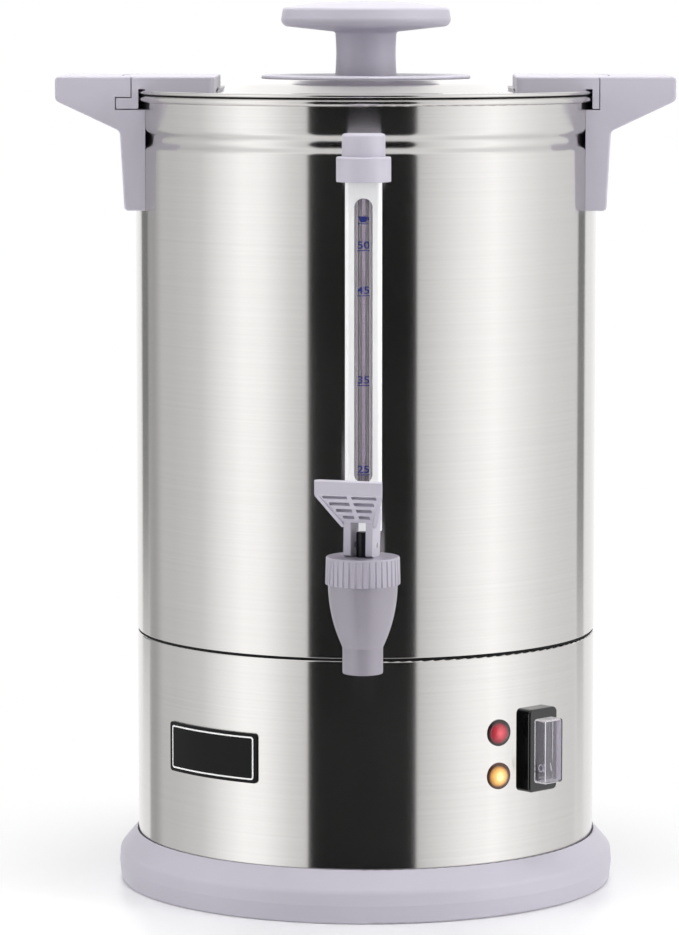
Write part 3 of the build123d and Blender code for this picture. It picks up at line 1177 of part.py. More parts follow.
# ---- write one STEP file per node ---------------------------------------------------------------

NODES = {
    "tank": tank, "seam_gasket": seam_gasket, "base_shell": base_shell, "base_ring": base_ring,
    "bottom_plate": bottom_plate, "base_screws": base_screws, "base_nuts": base_nuts,
    "handle_right": handle, "handle_left": lambda: HALF_TURN * handle(), "handle_screws": handle_screws,
    "lid_shell": lid_shell, "lid_ear_right": lid_ear, "lid_ear_left": lambda: HALF_TURN * lid_ear(),
    "ear_screws": ear_screws, "lid_seal": lid_seal,
    "knob": knob, "knob_flange": knob_flange, "knob_screw": knob_screw,
    "gauge_shield": gauge_shield, "gauge_glass": gauge_glass, "gauge_cap": gauge_cap,
    "gauge_seals": gauge_seals, "gauge_block": gauge_block,
    "tap_shank": tap_shank, "shank_washers": shank_washers, "shank_nut": shank_nut,
    "tap_body": tap_body, "tap_collar": tap_collar, "stem_bush": stem_bush, "tap_stem": tap_stem,
    "seat_cup": seat_cup, "tap_spring": tap_spring, "lever": lever, "lever_pin": lever_pin,
    "switch_housing": switch_housing, "switch_rocker": switch_rocker, "switch_cover": switch_cover,
    "indicator_red": lambda: indicator(LAMP_Z[0]), "indicator_amber": lambda: indicator(LAMP_Z[1]),
    "indicator_nuts": indicator_nuts, "badge_plate": badge_plate,
    "cord_gland": cord_gland, "gland_nut": gland_nut,
    "main_heater": main_heater, "heater_clamp": heater_clamp, "heater_studs": heater_studs,
    "heater_nuts": heater_nuts, "keep_warm_heater": keep_warm_heater,
    "thermostat": lambda: sensor(SENSOR_AT[0]), "thermal_cutout": lambda: sensor(SENSOR_AT[1]),
    "terminal_block": terminal_block, "earth_stud": earth_stud,
    "pump_tube": pump_tube, "pump_foot": pump_foot, "pump_valve": pump_valve,
    "filter_basket": filter_basket, "basket_lid": basket_lid,
}

os.makedirs("parts", exist_ok=True)
for name, make in NODES.items():
    export_step(make(), f"parts/{name}.step")
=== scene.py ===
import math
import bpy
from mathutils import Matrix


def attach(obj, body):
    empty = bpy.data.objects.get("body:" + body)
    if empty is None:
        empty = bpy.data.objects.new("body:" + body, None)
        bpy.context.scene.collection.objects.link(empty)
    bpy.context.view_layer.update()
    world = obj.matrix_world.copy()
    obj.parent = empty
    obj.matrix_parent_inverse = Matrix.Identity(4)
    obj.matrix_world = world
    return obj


bl_info = {
    "name": "Coffee Urn Dressing",
    "version": (1, 0, 0),
    "blender": (4, 5, 0),
    "location": "View3D > Sidebar > Urn",
    "description": "Finishes, printed marks, weld seams and a plain studio for a packed coffee urn",
    "category": "Object",
}

import bmesh
import bpy
from bpy.props import FloatProperty, FloatVectorProperty, PointerProperty, StringProperty
from mathutils import Matrix, Vector

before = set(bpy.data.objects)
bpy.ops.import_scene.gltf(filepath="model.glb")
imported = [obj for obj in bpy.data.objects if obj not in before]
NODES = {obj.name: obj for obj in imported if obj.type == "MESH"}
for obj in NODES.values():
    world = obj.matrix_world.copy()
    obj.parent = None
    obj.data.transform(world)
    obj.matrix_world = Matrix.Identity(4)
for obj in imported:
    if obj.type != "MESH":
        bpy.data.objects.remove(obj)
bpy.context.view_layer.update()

MM = 0.001

# Lengths in these named values are in millimetres, angles in degrees round the urn's axis from +X.
SHELL_R = 110.0         # outside of the tank and of the shell under it
GAUGE_Y = -124.5        # axis of the gauge's glass
GLASS_R = 4.5
FRONT_AZ = -90.0
CUP_ZERO_Z = 107.9      # height at which the gauge would read no cups
CUP_STEP = 4.06         # height of one cup
CUP_MARKS = (25, 35, 45, 50)
MARK_HALF = (3.1, 0.2)  # half the width and height of a mark's line
MARK_GAP = 0.7          # bare glass between the line and its number
DIGIT_WIDENING = 1.3
DIGIT_BOLDNESS = 0.06   # how far the digits' outline is pushed out
CAPITAL_SHARE = 0.7     # a digit's height as a share of the font's size
PRINT_LIFT = 0.04       # how far the gauge's ink stands off the glass
PRINT_FACET = 0.8       # longest facet of a drawing that is bent round the glass

# The cup sign, drawn about its own middle: bowl, saucer and the bowl's ear.
SIGN_Z = 324.8
BOWL_OUTLINE = ((-2.4, 1.5), (-2.1, 0.1), (-1.2, -1.1), (1.0, -1.1), (1.6, 0.1), (1.7, 1.5))
SAUCER_HALF = (2.4, 0.2)
SAUCER_MIDDLE = (-0.2, -1.8)
EAR_MIDDLE = (1.65, 0.5)
EAR_OUTER = (1.15, 0.8)  # half axes of its outer and inner edges
EAR_INNER = (0.7, 0.4)
EAR_STEPS = 12

SWITCH_AZ = -45.0
SWITCH_Z = 75.8
ROCKER_PIVOT_R = 115.5
ROCKER_FACE_R = 119.2
ROCKER_HALF = 12.4
ROCKER_BULGE = 1.2
ROCKER_REST = 5.0       # how far the rocker leans at rest
MARKS_UP = -8.6         # where the O and the I stand on the rocker, from its middle
RING_ASIDE = -2.7
BAR_ASIDE = 3.2
RING_OUTER = (1.6, 1.8, 1.6)    # half width, half height and corner radius
RING_INNER = (1.15, 1.35, 1.15)
BAR_HALF = (0.35, 1.8)
MARK_LIFT = 0.05

LAMP_AZ = -55.5
LAMP_R = 6.25
LIT_MIDDLE_SHIFT = 1.0        # how far the painted bright middle of a lens is moved to the left of its centre
# for each lamp: its lens's material, height, tones from rim to middle, and glow; the tones paint shade at the
# rim and the lamp's light in the middle
LAMPS = {
    # Only the amber lamp is lit: the red lens's glow is painted light.
    "indicator_red": ("acrylic_red", 85.0, ("1A0608", "A02C38", "D8525E"), 0.3),
    "indicator_amber": ("acrylic_amber_lit", 64.7, ("3A1A08", "D09A50", "FFE9A8"), 0.6),
}

BADGE_AZ = -131.0
BADGE_Z = 73.8
BADGE_SIZE = (55.5, 23.3)
BADGE_FACE_R = 110.92
BADGE_INSET = 1.5       # from the plate's edge to its line
LINE_CORNERS = (1.4, 0.9)       # the line's outer and inner corner radii
LINE_LIFT = 0.03
LINE_FACET = 3.0

WELD_RISE = 0.3
WELDS = {"tank_weld": (123.5, 350.5), "shell_weld": (26.5, 119.5)}      # foot and head of each

# The stage. Angles of softboxes are from the front, where the camera stands, to either side.
WALL_R = 2800
WALL_TOP = 3200
WALL_FOOT = -2500
FLAG_FOOT = -250
BACKDROP_FOOT = 550
WALL_STEPS = 24
FLOOR_R = 6000
FLOOR_STEPS = 96
FLOOR_FADE = (130, 300)  # between these distances from the axis the floor's shade gives way to white
CARD_BLACK = 0.008
CARD_GREY = 0.22
SENSOR_WIDTH = 36.0
LAMP_AIM = (0, 0, 200)
SIDE_LAMP_PLACE = (2000, -930, 700)
SIDE_LAMP_SIZE = (800, 1500)
TOP_LAMP_PLACE = (0, -250, 2200)
TOP_LAMP_SIZE = (1600, 1600)
# for each side: its direction, then the near and far edges of the softbox and the far edge of the flag
# beside it, and the softbox's brightness at angles between its edges
SOFTBOXES = {
    "left": (-1, (27.6, 138.0, 149.5), (
        (27.6, 0.82), (36, 0.94), (51, 1.34), (62, 1.42), (75, 1.16), (88, 0.85), (109, 0.72), (121, 0.70),
        (129, 0.46), (138, 0.44))),
    "right": (1, (25.2, 131.0, 141.0), (
        (25.2, 0.74), (33, 0.90), (49, 1.22), (66, 1.46), (85, 1.18), (100, 1.0), (117, 0.90), (131, 0.84))),
}


# ---- sizes and colours that a user would change ---------------------------------------------------

class UrnSteelSettings(bpy.types.PropertyGroup):
    tone: StringProperty(name="Steel tone", default="D0CECC",
                         description="Colour of bare stainless steel, sRGB hex")
    tone_light: StringProperty(name="Line tone", default="D8D6D4",
                               description="Colour of its brighter lines, sRGB hex")
    line: FloatProperty(name="Brush line", default=0.7, min=0.2, unit="NONE",
                        description="Spacing of the brush lines in millimetres")
    gloss: FloatProperty(name="Roughness", default=0.17, min=0.0, max=1.0, subtype="FACTOR",
                         description="Roughness along the mean of the brush lines")
    stretch: FloatProperty(name="Stretch", default=1.0, min=0.0, max=1.0, subtype="FACTOR",
                           description="How far highlights stretch across the brush lines")


class UrnPlasticSettings(bpy.types.PropertyGroup):
    tone: StringProperty(name="Plastic tone", default="C3BFCB",
                         description="Colour of the moulded plastic, sRGB hex")
    tap_tone: StringProperty(name="Tap tone", default="99949F",
                             description="Colour of the tap's body, sRGB hex")
    collar_tone: StringProperty(name="Collar tone", default="ADA8B5",
                                description="Colour of its collar, sRGB hex")
    grain: FloatProperty(name="Mould grain", default=0.9, min=0.2,
                         description="Size of the mould's fine grain in millimetres")


class UrnPrintSettings(bpy.types.PropertyGroup):
    ink: StringProperty(name="Gauge ink", default="16267C",
                        description="Colour of the gauge's print, sRGB hex")
    digit_height: FloatProperty(name="Digit height", default=3.3, min=1.0,
                                description="Height of the gauge's digits in millimetres")
    line_width: FloatProperty(name="Badge line", default=0.75, min=0.2,
                              description="Width of the badge's line in millimetres")


class UrnWeldSettings(bpy.types.PropertyGroup):
    pitch: FloatProperty(name="Ripple pitch", default=1.3, min=0.5,
                         description="Distance between ripples of a weld in millimetres")
    width: FloatProperty(name="Weld width", default=2.2, min=0.5,
                         description="Width of a weld in millimetres")
    azimuth: FloatProperty(name="Weld azimuth", default=118.0,
                           description="Where the sheet's seams stand, in degrees")


class UrnStageSettings(bpy.types.PropertyGroup):
    lens: FloatProperty(name="Lens", default=167.5, min=20.0, description="Focal length in millimetres")
    eye: FloatVectorProperty(name="Eye", default=(0.0168, -2.0855, 0.425), subtype="XYZ", unit="LENGTH",
                             description="Where the camera stands")
    pitch: FloatProperty(name="Pitch", default=6.19, description="How far the camera looks down, in degrees")
    pan: FloatProperty(name="Pan", default=0.808,
                       description="How far the camera looks to the left, in degrees")
    box_level: FloatProperty(name="Softbox level", default=1.0, min=0.0,
                             description="Brightness of the softboxes that the steel mirrors")
    backdrop: FloatProperty(name="Backdrop", default=1.35, min=0.0,
                            description="Brightness of the sheet behind the urn, which the lid mirrors")
    fill: FloatProperty(name="Fill", default=0.2, min=0.0,
                        description="Brightness of the room on matt surfaces")
    left_power: FloatProperty(name="Left lamp", default=14.0, min=0.0, unit="POWER",
                              description="Power of the left lamp")
    right_power: FloatProperty(name="Right lamp", default=24.0, min=0.0, unit="POWER",
                               description="Power of the right lamp")
    top_power: FloatProperty(name="Top lamp", default=46.0, min=0.0, unit="POWER",
                             description="Power of the top lamp")


# ---- helpers --------------------------------------------------------------------------------------

def linear(tone, alpha=1.0):
    """An sRGB hex value as linear RGBA."""
    values = [int(tone[i:i + 2], 16) / 255 for i in (0, 2, 4)]
    return (*[v / 12.92 if v <= 0.04045 else ((v + 0.055) / 1.055) ** 2.4 for v in values], alpha)


def add(tree, kind, inputs=None, **settings):
    """Add a node, set its properties, and fill or link its inputs by name or number."""
    node = tree.nodes.new(kind)
    for name, value in settings.items():
        setattr(node, name, value)
    for name, value in (inputs or {}).items():
        if isinstance(value, bpy.types.NodeSocket):
            tree.links.new(value, node.inputs[name])
        else:
            node.inputs[name].default_value = value
    return node


def new_material(name):
    """An empty material; returns it with its tree and its Object coordinates."""
    material = bpy.data.materials.new(name)
    material.use_nodes = True
    material.node_tree.nodes.clear()
    tree = material.node_tree
    return material, tree, add(tree, "ShaderNodeTexCoord").outputs["Object"]


def close_material(tree, shader):
    add(tree, "ShaderNodeOutputMaterial", {"Surface": shader})


def dress(material, *names):
    """Give CAD nodes a material."""
    for name in names:
        mesh = NODES[name].data
        if not mesh.materials:
            mesh.materials.append(material)
        for index in range(len(mesh.materials)):
            mesh.materials[index] = material


def keep(obj, body):
    """Let a finished piece ride on a body."""
    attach(obj, body)


def mesh_object(name, mesh, material=None):
    obj = bpy.data.objects.new(name, mesh)
    bpy.context.scene.collection.objects.link(obj)
    if material:
        mesh.materials.append(material)
    return obj


def made_from(name, points, faces, material):
    """A piece from points in millimetres."""
    mesh = bpy.data.meshes.new(name)
    mesh.from_pydata([[value * MM for value in point] for point in points], [], faces)
    mesh.update()
    return mesh_object(name, mesh, material)


def merged(name, objects):
    """Join flat pieces into one mesh, removing their objects."""
    joined = bmesh.new()
    for obj in objects:
        joined.from_mesh(obj.data)
        bpy.data.objects.remove(obj)
    mesh = bpy.data.meshes.new(name)
    joined.to_mesh(mesh)
    joined.free()
    return mesh


def wrapped(mesh, centre, radius, azimuth, height):
    """Lay a flat drawing, in millimetres, on an upright cylinder. Its z becomes height off the wall."""
    for vertex in mesh.vertices:
        across, up, off = vertex.co
        turn = math.radians(azimuth) + across / radius
        reach = radius + off
        x = centre[0] + reach * math.cos(turn)
        y = centre[1] + reach * math.sin(turn)
        vertex.co = Vector((x, y, height + up)) * MM
    return mesh


def lettering(text, height, widening, boldness):
    """A word as a flat mesh in millimetres, centred on 0."""
    curve = bpy.data.curves.new("lettering", "FONT")
    curve.body = text
    curve.align_x = "CENTER"
    curve.align_y = "CENTER"
    curve.size = height / CAPITAL_SHARE
    curve.offset = boldness
    obj = bpy.data.objects.new("lettering", curve)
    bpy.context.scene.collection.objects.link(obj)
    mesh = bpy.data.meshes.new_from_object(obj.evaluated_get(bpy.context.evaluated_depsgraph_get()))
    bpy.data.objects.remove(obj)
    mesh.transform(Matrix.Diagonal((widening, 1, 1, 1)))
    return mesh


MOST_CUTS = 6


def divided(mesh, longest):
    """Cut a flat drawing into facets short enough to bend round a cylinder."""
    work = bmesh.new()
    work.from_mesh(mesh)
    bmesh.ops.triangulate(work, faces=work.faces)
    for _ in range(MOST_CUTS):
        long_edges = [edge for edge in work.edges if edge.calc_length() > longest]
        if long_edges:
            bmesh.ops.subdivide_edges(work, edges=long_edges, cuts=1)
            bmesh.ops.triangulate(work, faces=work.faces)
    work.to_mesh(mesh)
    work.free()
    return mesh


def flat_shape(points, faces=None):
    """A flat drawing; without faces its points are the outline of one face."""
    mesh = bpy.data.meshes.new("flat")
    mesh.from_pydata([(x, y, 0.0) for x, y in points], [], faces or [tuple(range(len(points)))])
    mesh.update()
    return mesh


def flat_bar(half, middle=(0.0, 0.0)):
    corners = ((-1, -1), (1, -1), (1, 1), (-1, 1))
    return flat_shape([(middle[0] + sx * half[0], middle[1] + sy * half[1]) for sx, sy in corners])


def flat_loop(outer, inner):
    """A flat band between two loops with as many points."""
    count = len(outer)
    faces = [(i, (i + 1) % count, count + (i + 1) % count, count + i) for i in range(count)]
    return flat_shape(outer + inner, faces)


def rounded_loop(half_width, half_height, radius, steps=8):
    """Points round a rectangle with rounded corners."""
    points = []
    for corner, (sx, sy) in enumerate(((1, 1), (-1, 1), (-1, -1), (1, -1))):
        for step in range(steps + 1):
            turn = math.radians(90 * (corner + step / steps))
            points.append((sx * (half_width - radius) + radius * math.cos(turn),
                           sy * (half_height - radius) + radius * math.sin(turn)))
    return points


# ---- materials ------------------------------------------------------------------------------------

GLOSS_SWING = 0.03      # how far the sheet's roughness strays to either side
BRUSH_DEPTH = 0.04      # depth of brush lines, in millimetres as the next four
GRAIN_DEPTH = 0.03      # depth of a drawn, plated or moulded surface
CAST_DEPTH = 0.1        # depth of a cast surface
STREAK_DEPTH = 0.02     # depth of drawing streaks in clear pieces
FACET_DEPTH = 0.2       # depth of a lens's facets
DRAWN_LINE = 0.5        # spacing of the lines on drawn aluminium, in millimetres
FACETS_PER_M = 700.0
QUARTER_TURN = 0.25     # of a whole turn: highlights stretch across the lines
LENS_BODY_AT = 0.55     # shares of a lens's radius at which it is tinted as body and as rim; the rim's dark tint is painted shade
LENS_SHADED_RIM_AT = 0.82


def brushed_stainless():
    """304 stainless sheet, belt brushed round the tank: mirrors sideways, blurs up and down."""
    look = bpy.context.scene.urn_steel
    material, tree, place = new_material("stainless_304_brushed_round")
    lines = add(tree, "ShaderNodeMapping", {"Vector": place, "Scale": (6, 6, 1 / (look.line * MM))})
    brush = add(tree, "ShaderNodeTexNoise", {"Vector": lines.outputs[0], "Scale": 1.0, "Detail": 3.0})
    clouds = add(tree, "ShaderNodeTexNoise", {"Vector": place, "Scale": 9.0, "Detail": 1.0})
    tone = add(tree, "ShaderNodeMix", {
        0: brush.outputs["Fac"], 6: linear(look.tone), 7: linear(look.tone_light)}, data_type="RGBA")
    rough = add(tree, "ShaderNodeMapRange", {
        "Value": clouds.outputs["Fac"], "To Min": look.gloss - GLOSS_SWING,
        "To Max": look.gloss + GLOSS_SWING}, interpolation_type="SMOOTHSTEP")
    bump = add(tree, "ShaderNodeBump", {
        "Strength": 0.04, "Distance": BRUSH_DEPTH * MM, "Height": brush.outputs["Fac"]})
    around = add(tree, "ShaderNodeTangent", direction_type="RADIAL", axis="Z")
    shader = add(tree, "ShaderNodeBsdfPrincipled", {
        "Base Color": tone.outputs[2], "Metallic": 1.0, "Roughness": rough.outputs[0],
        "Normal": bump.outputs[0], "Anisotropic": look.stretch, "Anisotropic Rotation": QUARTER_TURN,
        "Tangent": around.outputs[0]})
    close_material(tree, shader.outputs[0])
    return material


def spun_stainless(name="stainless_304_spun", gloss=0.18):
    """Stainless spun on a lathe: rings of fine lines about the axis."""
    look = bpy.context.scene.urn_steel
    material, tree, place = new_material(name)
    flat = add(tree, "ShaderNodeVectorMath", {0: place, 1: (1, 1, 0)}, operation="MULTIPLY")
    radius = add(tree, "ShaderNodeVectorMath", {0: flat.outputs[0]}, operation="LENGTH")
    rings = add(tree, "ShaderNodeMath", {
        0: radius.outputs["Value"], 1: 1 / (look.line * MM)}, operation="MULTIPLY")
    brush = add(tree, "ShaderNodeTexNoise", {
        "W": rings.outputs[0], "Scale": 1.0, "Detail": 3.0}, noise_dimensions="1D")
    tone = add(tree, "ShaderNodeMix", {
        0: brush.outputs["Fac"], 6: linear(look.tone), 7: linear(look.tone_light)}, data_type="RGBA")
    bump = add(tree, "ShaderNodeBump", {
        "Strength": 0.06, "Distance": BRUSH_DEPTH * MM, "Height": brush.outputs["Fac"]})
    around = add(tree, "ShaderNodeTangent", direction_type="RADIAL", axis="Z")
    shader = add(tree, "ShaderNodeBsdfPrincipled", {
        "Base Color": tone.outputs[2], "Metallic": 1.0, "Roughness": gloss, "Normal": bump.outputs[0],
        "Anisotropic": 0.6, "Anisotropic Rotation": QUARTER_TURN, "Tangent": around.outputs[0]})
    close_material(tree, shader.outputs[0])
    return material


def plain_metal(name, tone, roughness, grain=0.4, depth=GRAIN_DEPTH, second=None):
    """Metal with a fine uneven surface: plated, cast, drawn or turned as its name says."""
    material, tree, place = new_material(name)
    grit = add(tree, "ShaderNodeTexNoise", {"Vector": place, "Scale": 1 / (grain * MM), "Detail": 2.0})
    patches = add(tree, "ShaderNodeTexNoise", {"Vector": place, "Scale": 120.0, "Detail": 3.0})
    colour = add(tree, "ShaderNodeMix", {
        0: patches.outputs["Fac"], 6: linear(tone), 7: linear(second or tone)}, data_type="RGBA")
    bump = add(tree, "ShaderNodeBump", {
        "Strength": 0.2, "Distance": depth * MM, "Height": grit.outputs["Fac"]})
    shader = add(tree, "ShaderNodeBsdfPrincipled", {
        "Base Color": colour.outputs[2], "Metallic": 1.0, "Roughness": roughness, "Normal": bump.outputs[0]})
    close_material(tree, shader.outputs[0])
    return material


def anodised_aluminium():
    """Drawn aluminium given a near-white tone and little metal, so that it looks nearly white."""
    material, tree, place = new_material("aluminium_near_white")
    across = 1 / (DRAWN_LINE * MM)
    drawn = add(tree, "ShaderNodeMapping", {"Vector": place, "Scale": (across, across, 12)})
    lines = add(tree, "ShaderNodeTexNoise", {"Vector": drawn.outputs[0], "Scale": 1.0, "Detail": 2.0})
    tone = add(tree, "ShaderNodeMix", {
        0: lines.outputs["Fac"], 6: linear("F9F9FB"), 7: linear("FFFFFF")}, data_type="RGBA")
    bump = add(tree, "ShaderNodeBump", {
        "Strength": 0.1, "Distance": GRAIN_DEPTH * MM, "Height": lines.outputs["Fac"]})
    shader = add(tree, "ShaderNodeBsdfPrincipled", {
        "Base Color": tone.outputs[2], "Metallic": 0.1, "Roughness": 0.36, "Normal": bump.outputs[0]})
    close_material(tree, shader.outputs[0])
    return material


def moulded_plastic(name, tone, roughness, grain, contrast=0.04, coat=0.0, ior=1.5):
    """Injection-moulded plastic: even colour with a faint cloud and the mould's fine grain."""
    material, tree, place = new_material(name)
    cloud = add(tree, "ShaderNodeTexNoise", {"Vector": place, "Scale": 18.0, "Detail": 3.0})
    spark = add(tree, "ShaderNodeTexVoronoi", {"Vector": place, "Scale": 1 / (grain * MM)})
    base = linear(tone)
    dark = tuple(value * (1 - contrast) for value in base[:3]) + (1.0,)
    light = tuple(min(1.0, value * (1 + contrast)) for value in base[:3]) + (1.0,)
    colour = add(tree, "ShaderNodeMix", {0: cloud.outputs["Fac"], 6: dark, 7: light}, data_type="RGBA")
    bump = add(tree, "ShaderNodeBump", {
        "Strength": 0.15, "Distance": GRAIN_DEPTH * MM, "Height": spark.outputs["Distance"]})
    shader = add(tree, "ShaderNodeBsdfPrincipled", {
        "Base Color": colour.outputs[2], "Roughness": roughness, "IOR": ior, "Normal": bump.outputs[0],
        "Coat Weight": coat, "Coat Roughness": 0.1})
    close_material(tree, shader.outputs[0])
    return material


def clear_piece(name, tone, ior, roughness=0.02, haze=0.0):
    """Clear glass or clear moulded plastic with faint drawing streaks."""
    material, tree, place = new_material(name)
    long_lines = add(tree, "ShaderNodeMapping", {"Vector": place, "Scale": (260, 260, 2)})
    streaks = add(tree, "ShaderNodeTexNoise", {"Vector": long_lines.outputs[0], "Scale": 1.0, "Detail": 2.0})
    bump = add(tree, "ShaderNodeBump", {
        "Strength": 0.02, "Distance": STREAK_DEPTH * MM, "Height": streaks.outputs["Fac"]})
    shader = add(tree, "ShaderNodeBsdfPrincipled", {
        "Base Color": linear(tone), "Roughness": roughness, "IOR": ior, "Transmission Weight": 1.0 - haze,
        "Normal": bump.outputs[0]})
    close_material(tree, shader.outputs[0])
    return material


def lens_plastic(name, height, tones, glow):
    """Coloured acrylic lens with a painted tint: painted shade round its rim and painted lamplight over its
    middle, the same tint also feeding its glow.
    """
    material, tree, place = new_material(name)
    rim, body, lit_heart = tones
    turn = math.radians(LAMP_AZ)
    centre = (SHELL_R * MM * math.cos(turn), SHELL_R * MM * math.sin(turn), height * MM)
    shift = add(tree, "ShaderNodeVectorMath", {0: place, 1: centre}, operation="SUBTRACT")
    across = add(tree, "ShaderNodeVectorMath", {
        0: shift.outputs[0], 1: (-math.sin(turn), math.cos(turn), 0)}, operation="DOT_PRODUCT")
    up = add(tree, "ShaderNodeVectorMath", {0: shift.outputs[0], 1: (0, 0, 1)}, operation="DOT_PRODUCT")
    # The painted bright middle is moved to the left of the lens's centre.
    shifted = add(tree, "ShaderNodeMath", {0: across.outputs["Value"], 1: LIT_MIDDLE_SHIFT * MM})
    flat = add(tree, "ShaderNodeCombineXYZ", {"X": shifted.outputs[0], "Y": up.outputs["Value"]})
    reach = add(tree, "ShaderNodeVectorMath", {0: flat.outputs[0]}, operation="LENGTH")
    share = add(tree, "ShaderNodeMath", {
        0: reach.outputs["Value"], 1: 1 / (LAMP_R * MM)}, operation="MULTIPLY")
    # Painted shade at the rim and painted lamplight in the middle, by the distance from the lens's bright
    # middle.
    ramp = add(tree, "ShaderNodeValToRGB", {"Fac": share.outputs[0]})
    stops = ramp.color_ramp.elements
    stops[0].position, stops[0].color = 0.0, linear(lit_heart)
    stops[1].position, stops[1].color = 1.0, linear(rim)
    for position, tone in ((LENS_BODY_AT, body), (LENS_SHADED_RIM_AT, rim)):
        stop = stops.new(position)
        stop.color = linear(tone)
    facets = add(tree, "ShaderNodeTexVoronoi", {"Vector": place, "Scale": FACETS_PER_M})
    bump = add(tree, "ShaderNodeBump", {
        "Strength": 0.3, "Distance": FACET_DEPTH * MM, "Height": facets.outputs["Distance"]})
    shader = add(tree, "ShaderNodeBsdfPrincipled", {
        "Base Color": ramp.outputs["Color"], "Roughness": 0.22, "IOR": 1.49, "Coat Weight": 0.3,
        "Coat Roughness": 0.04, "Normal": bump.outputs[0], "Emission Color": ramp.outputs["Color"],
        "Emission Strength": glow})
    close_material(tree, shader.outputs[0])
    return material


def printed_ink(name, tone):
    """Screen-printed ink: matt, with an edge broken by pinholes too fine to see singly."""
    material, tree, place = new_material(name)
    holes = add(tree, "ShaderNodeTexNoise", {"Vector": place, "Scale": 2500.0, "Detail": 1.0})
    base = linear(tone)
    worn = tuple(min(1.0, value * 1.15 + 0.01) for value in base[:3]) + (1.0,)
    colour = add(tree, "ShaderNodeMix", {0: holes.outputs["Fac"], 6: base, 7: worn}, data_type="RGBA")
    shader = add(tree, "ShaderNodeBsdfPrincipled", {
        "Base Color": colour.outputs[2], "Roughness": 0.45, "IOR": 1.5})
    close_material(tree, shader.outputs[0])
    return material


# ---- operators: one for each piece or group of like pieces ----------------------------------------

class URN_OT_steel(bpy.types.Operator):
    """Give the sheet steel of tank, base, lid and basket its brushed finish"""
    bl_idname = "urn.steel"
    bl_label = "Sheet steel"

    def execute(self, context):
        dress(brushed_stainless(), "tank", "base_shell")
        dress(spun_stainless(), "lid_shell")
        dress(spun_stainless("stainless_304_pressed", 0.3), "filter_basket", "basket_lid", "pump_tube",
              "pump_foot")
        return {"FINISHED"}


class URN_OT_plastic(bpy.types.Operator):
    """Give the lilac-grey mouldings their plastic"""
    bl_idname = "urn.plastic"
    bl_label = "Grey mouldings"

    def execute(self, context):
        look = context.scene.urn_plastic
        satin = moulded_plastic("abs_moulded_satin", look.tone, 0.42, look.grain)
        dress(satin, "base_ring", "handle_right", "handle_left", "lid_ear_right", "lid_ear_left", "knob",
              "knob_flange", "gauge_cap", "gauge_block", "lever")
        # The tap's body and collar get darker tones than the other mouldings.
        for part, tone in (("body", look.tap_tone), ("collar", look.collar_tone)):
            dress(moulded_plastic(f"acetal_moulded_{part}", tone, 0.34, look.grain, coat=0.3), f"tap_{part}")
        return {"FINISHED"}


class URN_OT_small_parts(bpy.types.Operator):
    """Give fasteners, seals, heating and wiring parts the finish of each one's stuff"""
    bl_idname = "urn.small_parts"
    bl_label = "Small parts"

    def execute(self, context):
        dress(plain_metal("stainless_turned", "C9C9CB", 0.24, second="B9B9BC"), "handle_screws", "ear_screws",
              "knob_screw", "base_screws", "lever_pin", "pump_valve", "tap_shank", "shank_nut")
        dress(plain_metal("spring_wire", "A9A9AD", 0.3, second="98989C"), "tap_spring")
        dress(plain_metal("steel_zinc_plated", "AEB0B3", 0.4, 1.5, second="C3C4C2"), "bottom_plate",
              "base_nuts", "heater_clamp", "heater_studs", "heater_nuts")
        dress(plain_metal("aluminium_cast", "B0B0B0", 0.55, 0.8, CAST_DEPTH, "9C9C9C"), "main_heater",
              "keep_warm_heater")
        dress(plain_metal("brass_turned", "C9A35A", 0.28, second="B48C45"), "earth_stud")
        # The seam gasket's black is painted shade: a dark ring standing in for the shade in the groove
        # between the tank and the base shell. The lid seal is black too.
        dress(moulded_plastic("black_seal_and_seam_shade", "0C0C0E", 0.7, 0.6, ior=1.3), "lid_seal", "seam_gasket")
        dress(moulded_plastic("silicone_milky", "C9C7C2", 0.5, 0.6), "gauge_seals", "shank_washers",
              "seat_cup")
        dress(moulded_plastic("steatite_ceramic", "DAD7CC", 0.7, 0.5, 0.06), "thermostat", "thermal_cutout",
              "terminal_block")
        dress(moulded_plastic("acetal_black", "17171A", 0.35, 0.8), "stem_bush", "tap_stem", "cord_gland",
              "gland_nut", "indicator_nuts")
        return {"FINISHED"}


class URN_OT_gauge(bpy.types.Operator):
    """Finish the water gauge and print its scale on the glass"""
    bl_idname = "urn.gauge"
    bl_label = "Water gauge"

    def execute(self, context):
        look = context.scene.urn_print
        dress(anodised_aluminium(), "gauge_shield")
        dress(clear_piece("borosilicate_drawn", "F7F3FA", 1.47), "gauge_glass")
        ink = printed_ink("ink_blue", look.ink)
        drawings = []
        for cups in CUP_MARKS:
            height = CUP_ZERO_Z + cups * CUP_STEP
            number = lettering(str(cups), look.digit_height, DIGIT_WIDENING, DIGIT_BOLDNESS)
            self.place(number, height + look.digit_height / 2 + MARK_GAP, drawings)
            self.place(flat_bar(MARK_HALF), height, drawings)
        for part in self.cup_sign():
            self.place(part, SIGN_Z, drawings)
        mesh = merged("gauge_print", drawings)
        keep(mesh_object("gauge_print", mesh, ink), "root")
        return {"FINISHED"}

    def place(self, mesh, height, drawings):
        """Wrap a flat drawing round the front of the glass."""
        divided(mesh, PRINT_FACET)
        wrapped(mesh, (0, GAUGE_Y), GLASS_R + PRINT_LIFT, FRONT_AZ, height)
        drawings.append(mesh_object("print", mesh))

    def cup_sign(self):
        """Flat drawings of the cup's bowl, its saucer and its ear."""
        turns = [math.radians(-90 + 180 * step / EAR_STEPS) for step in range(EAR_STEPS + 1)]
        ear = [(EAR_MIDDLE[0] + across * math.cos(turn), EAR_MIDDLE[1] + up * math.sin(turn))
               for across, up in (EAR_OUTER, EAR_INNER) for turn in turns]
        inner = len(turns)
        faces = [(i, i + 1, inner + i + 1, inner + i) for i in range(EAR_STEPS)]
        return flat_shape(BOWL_OUTLINE), flat_bar(SAUCER_HALF, SAUCER_MIDDLE), flat_shape(ear, faces)


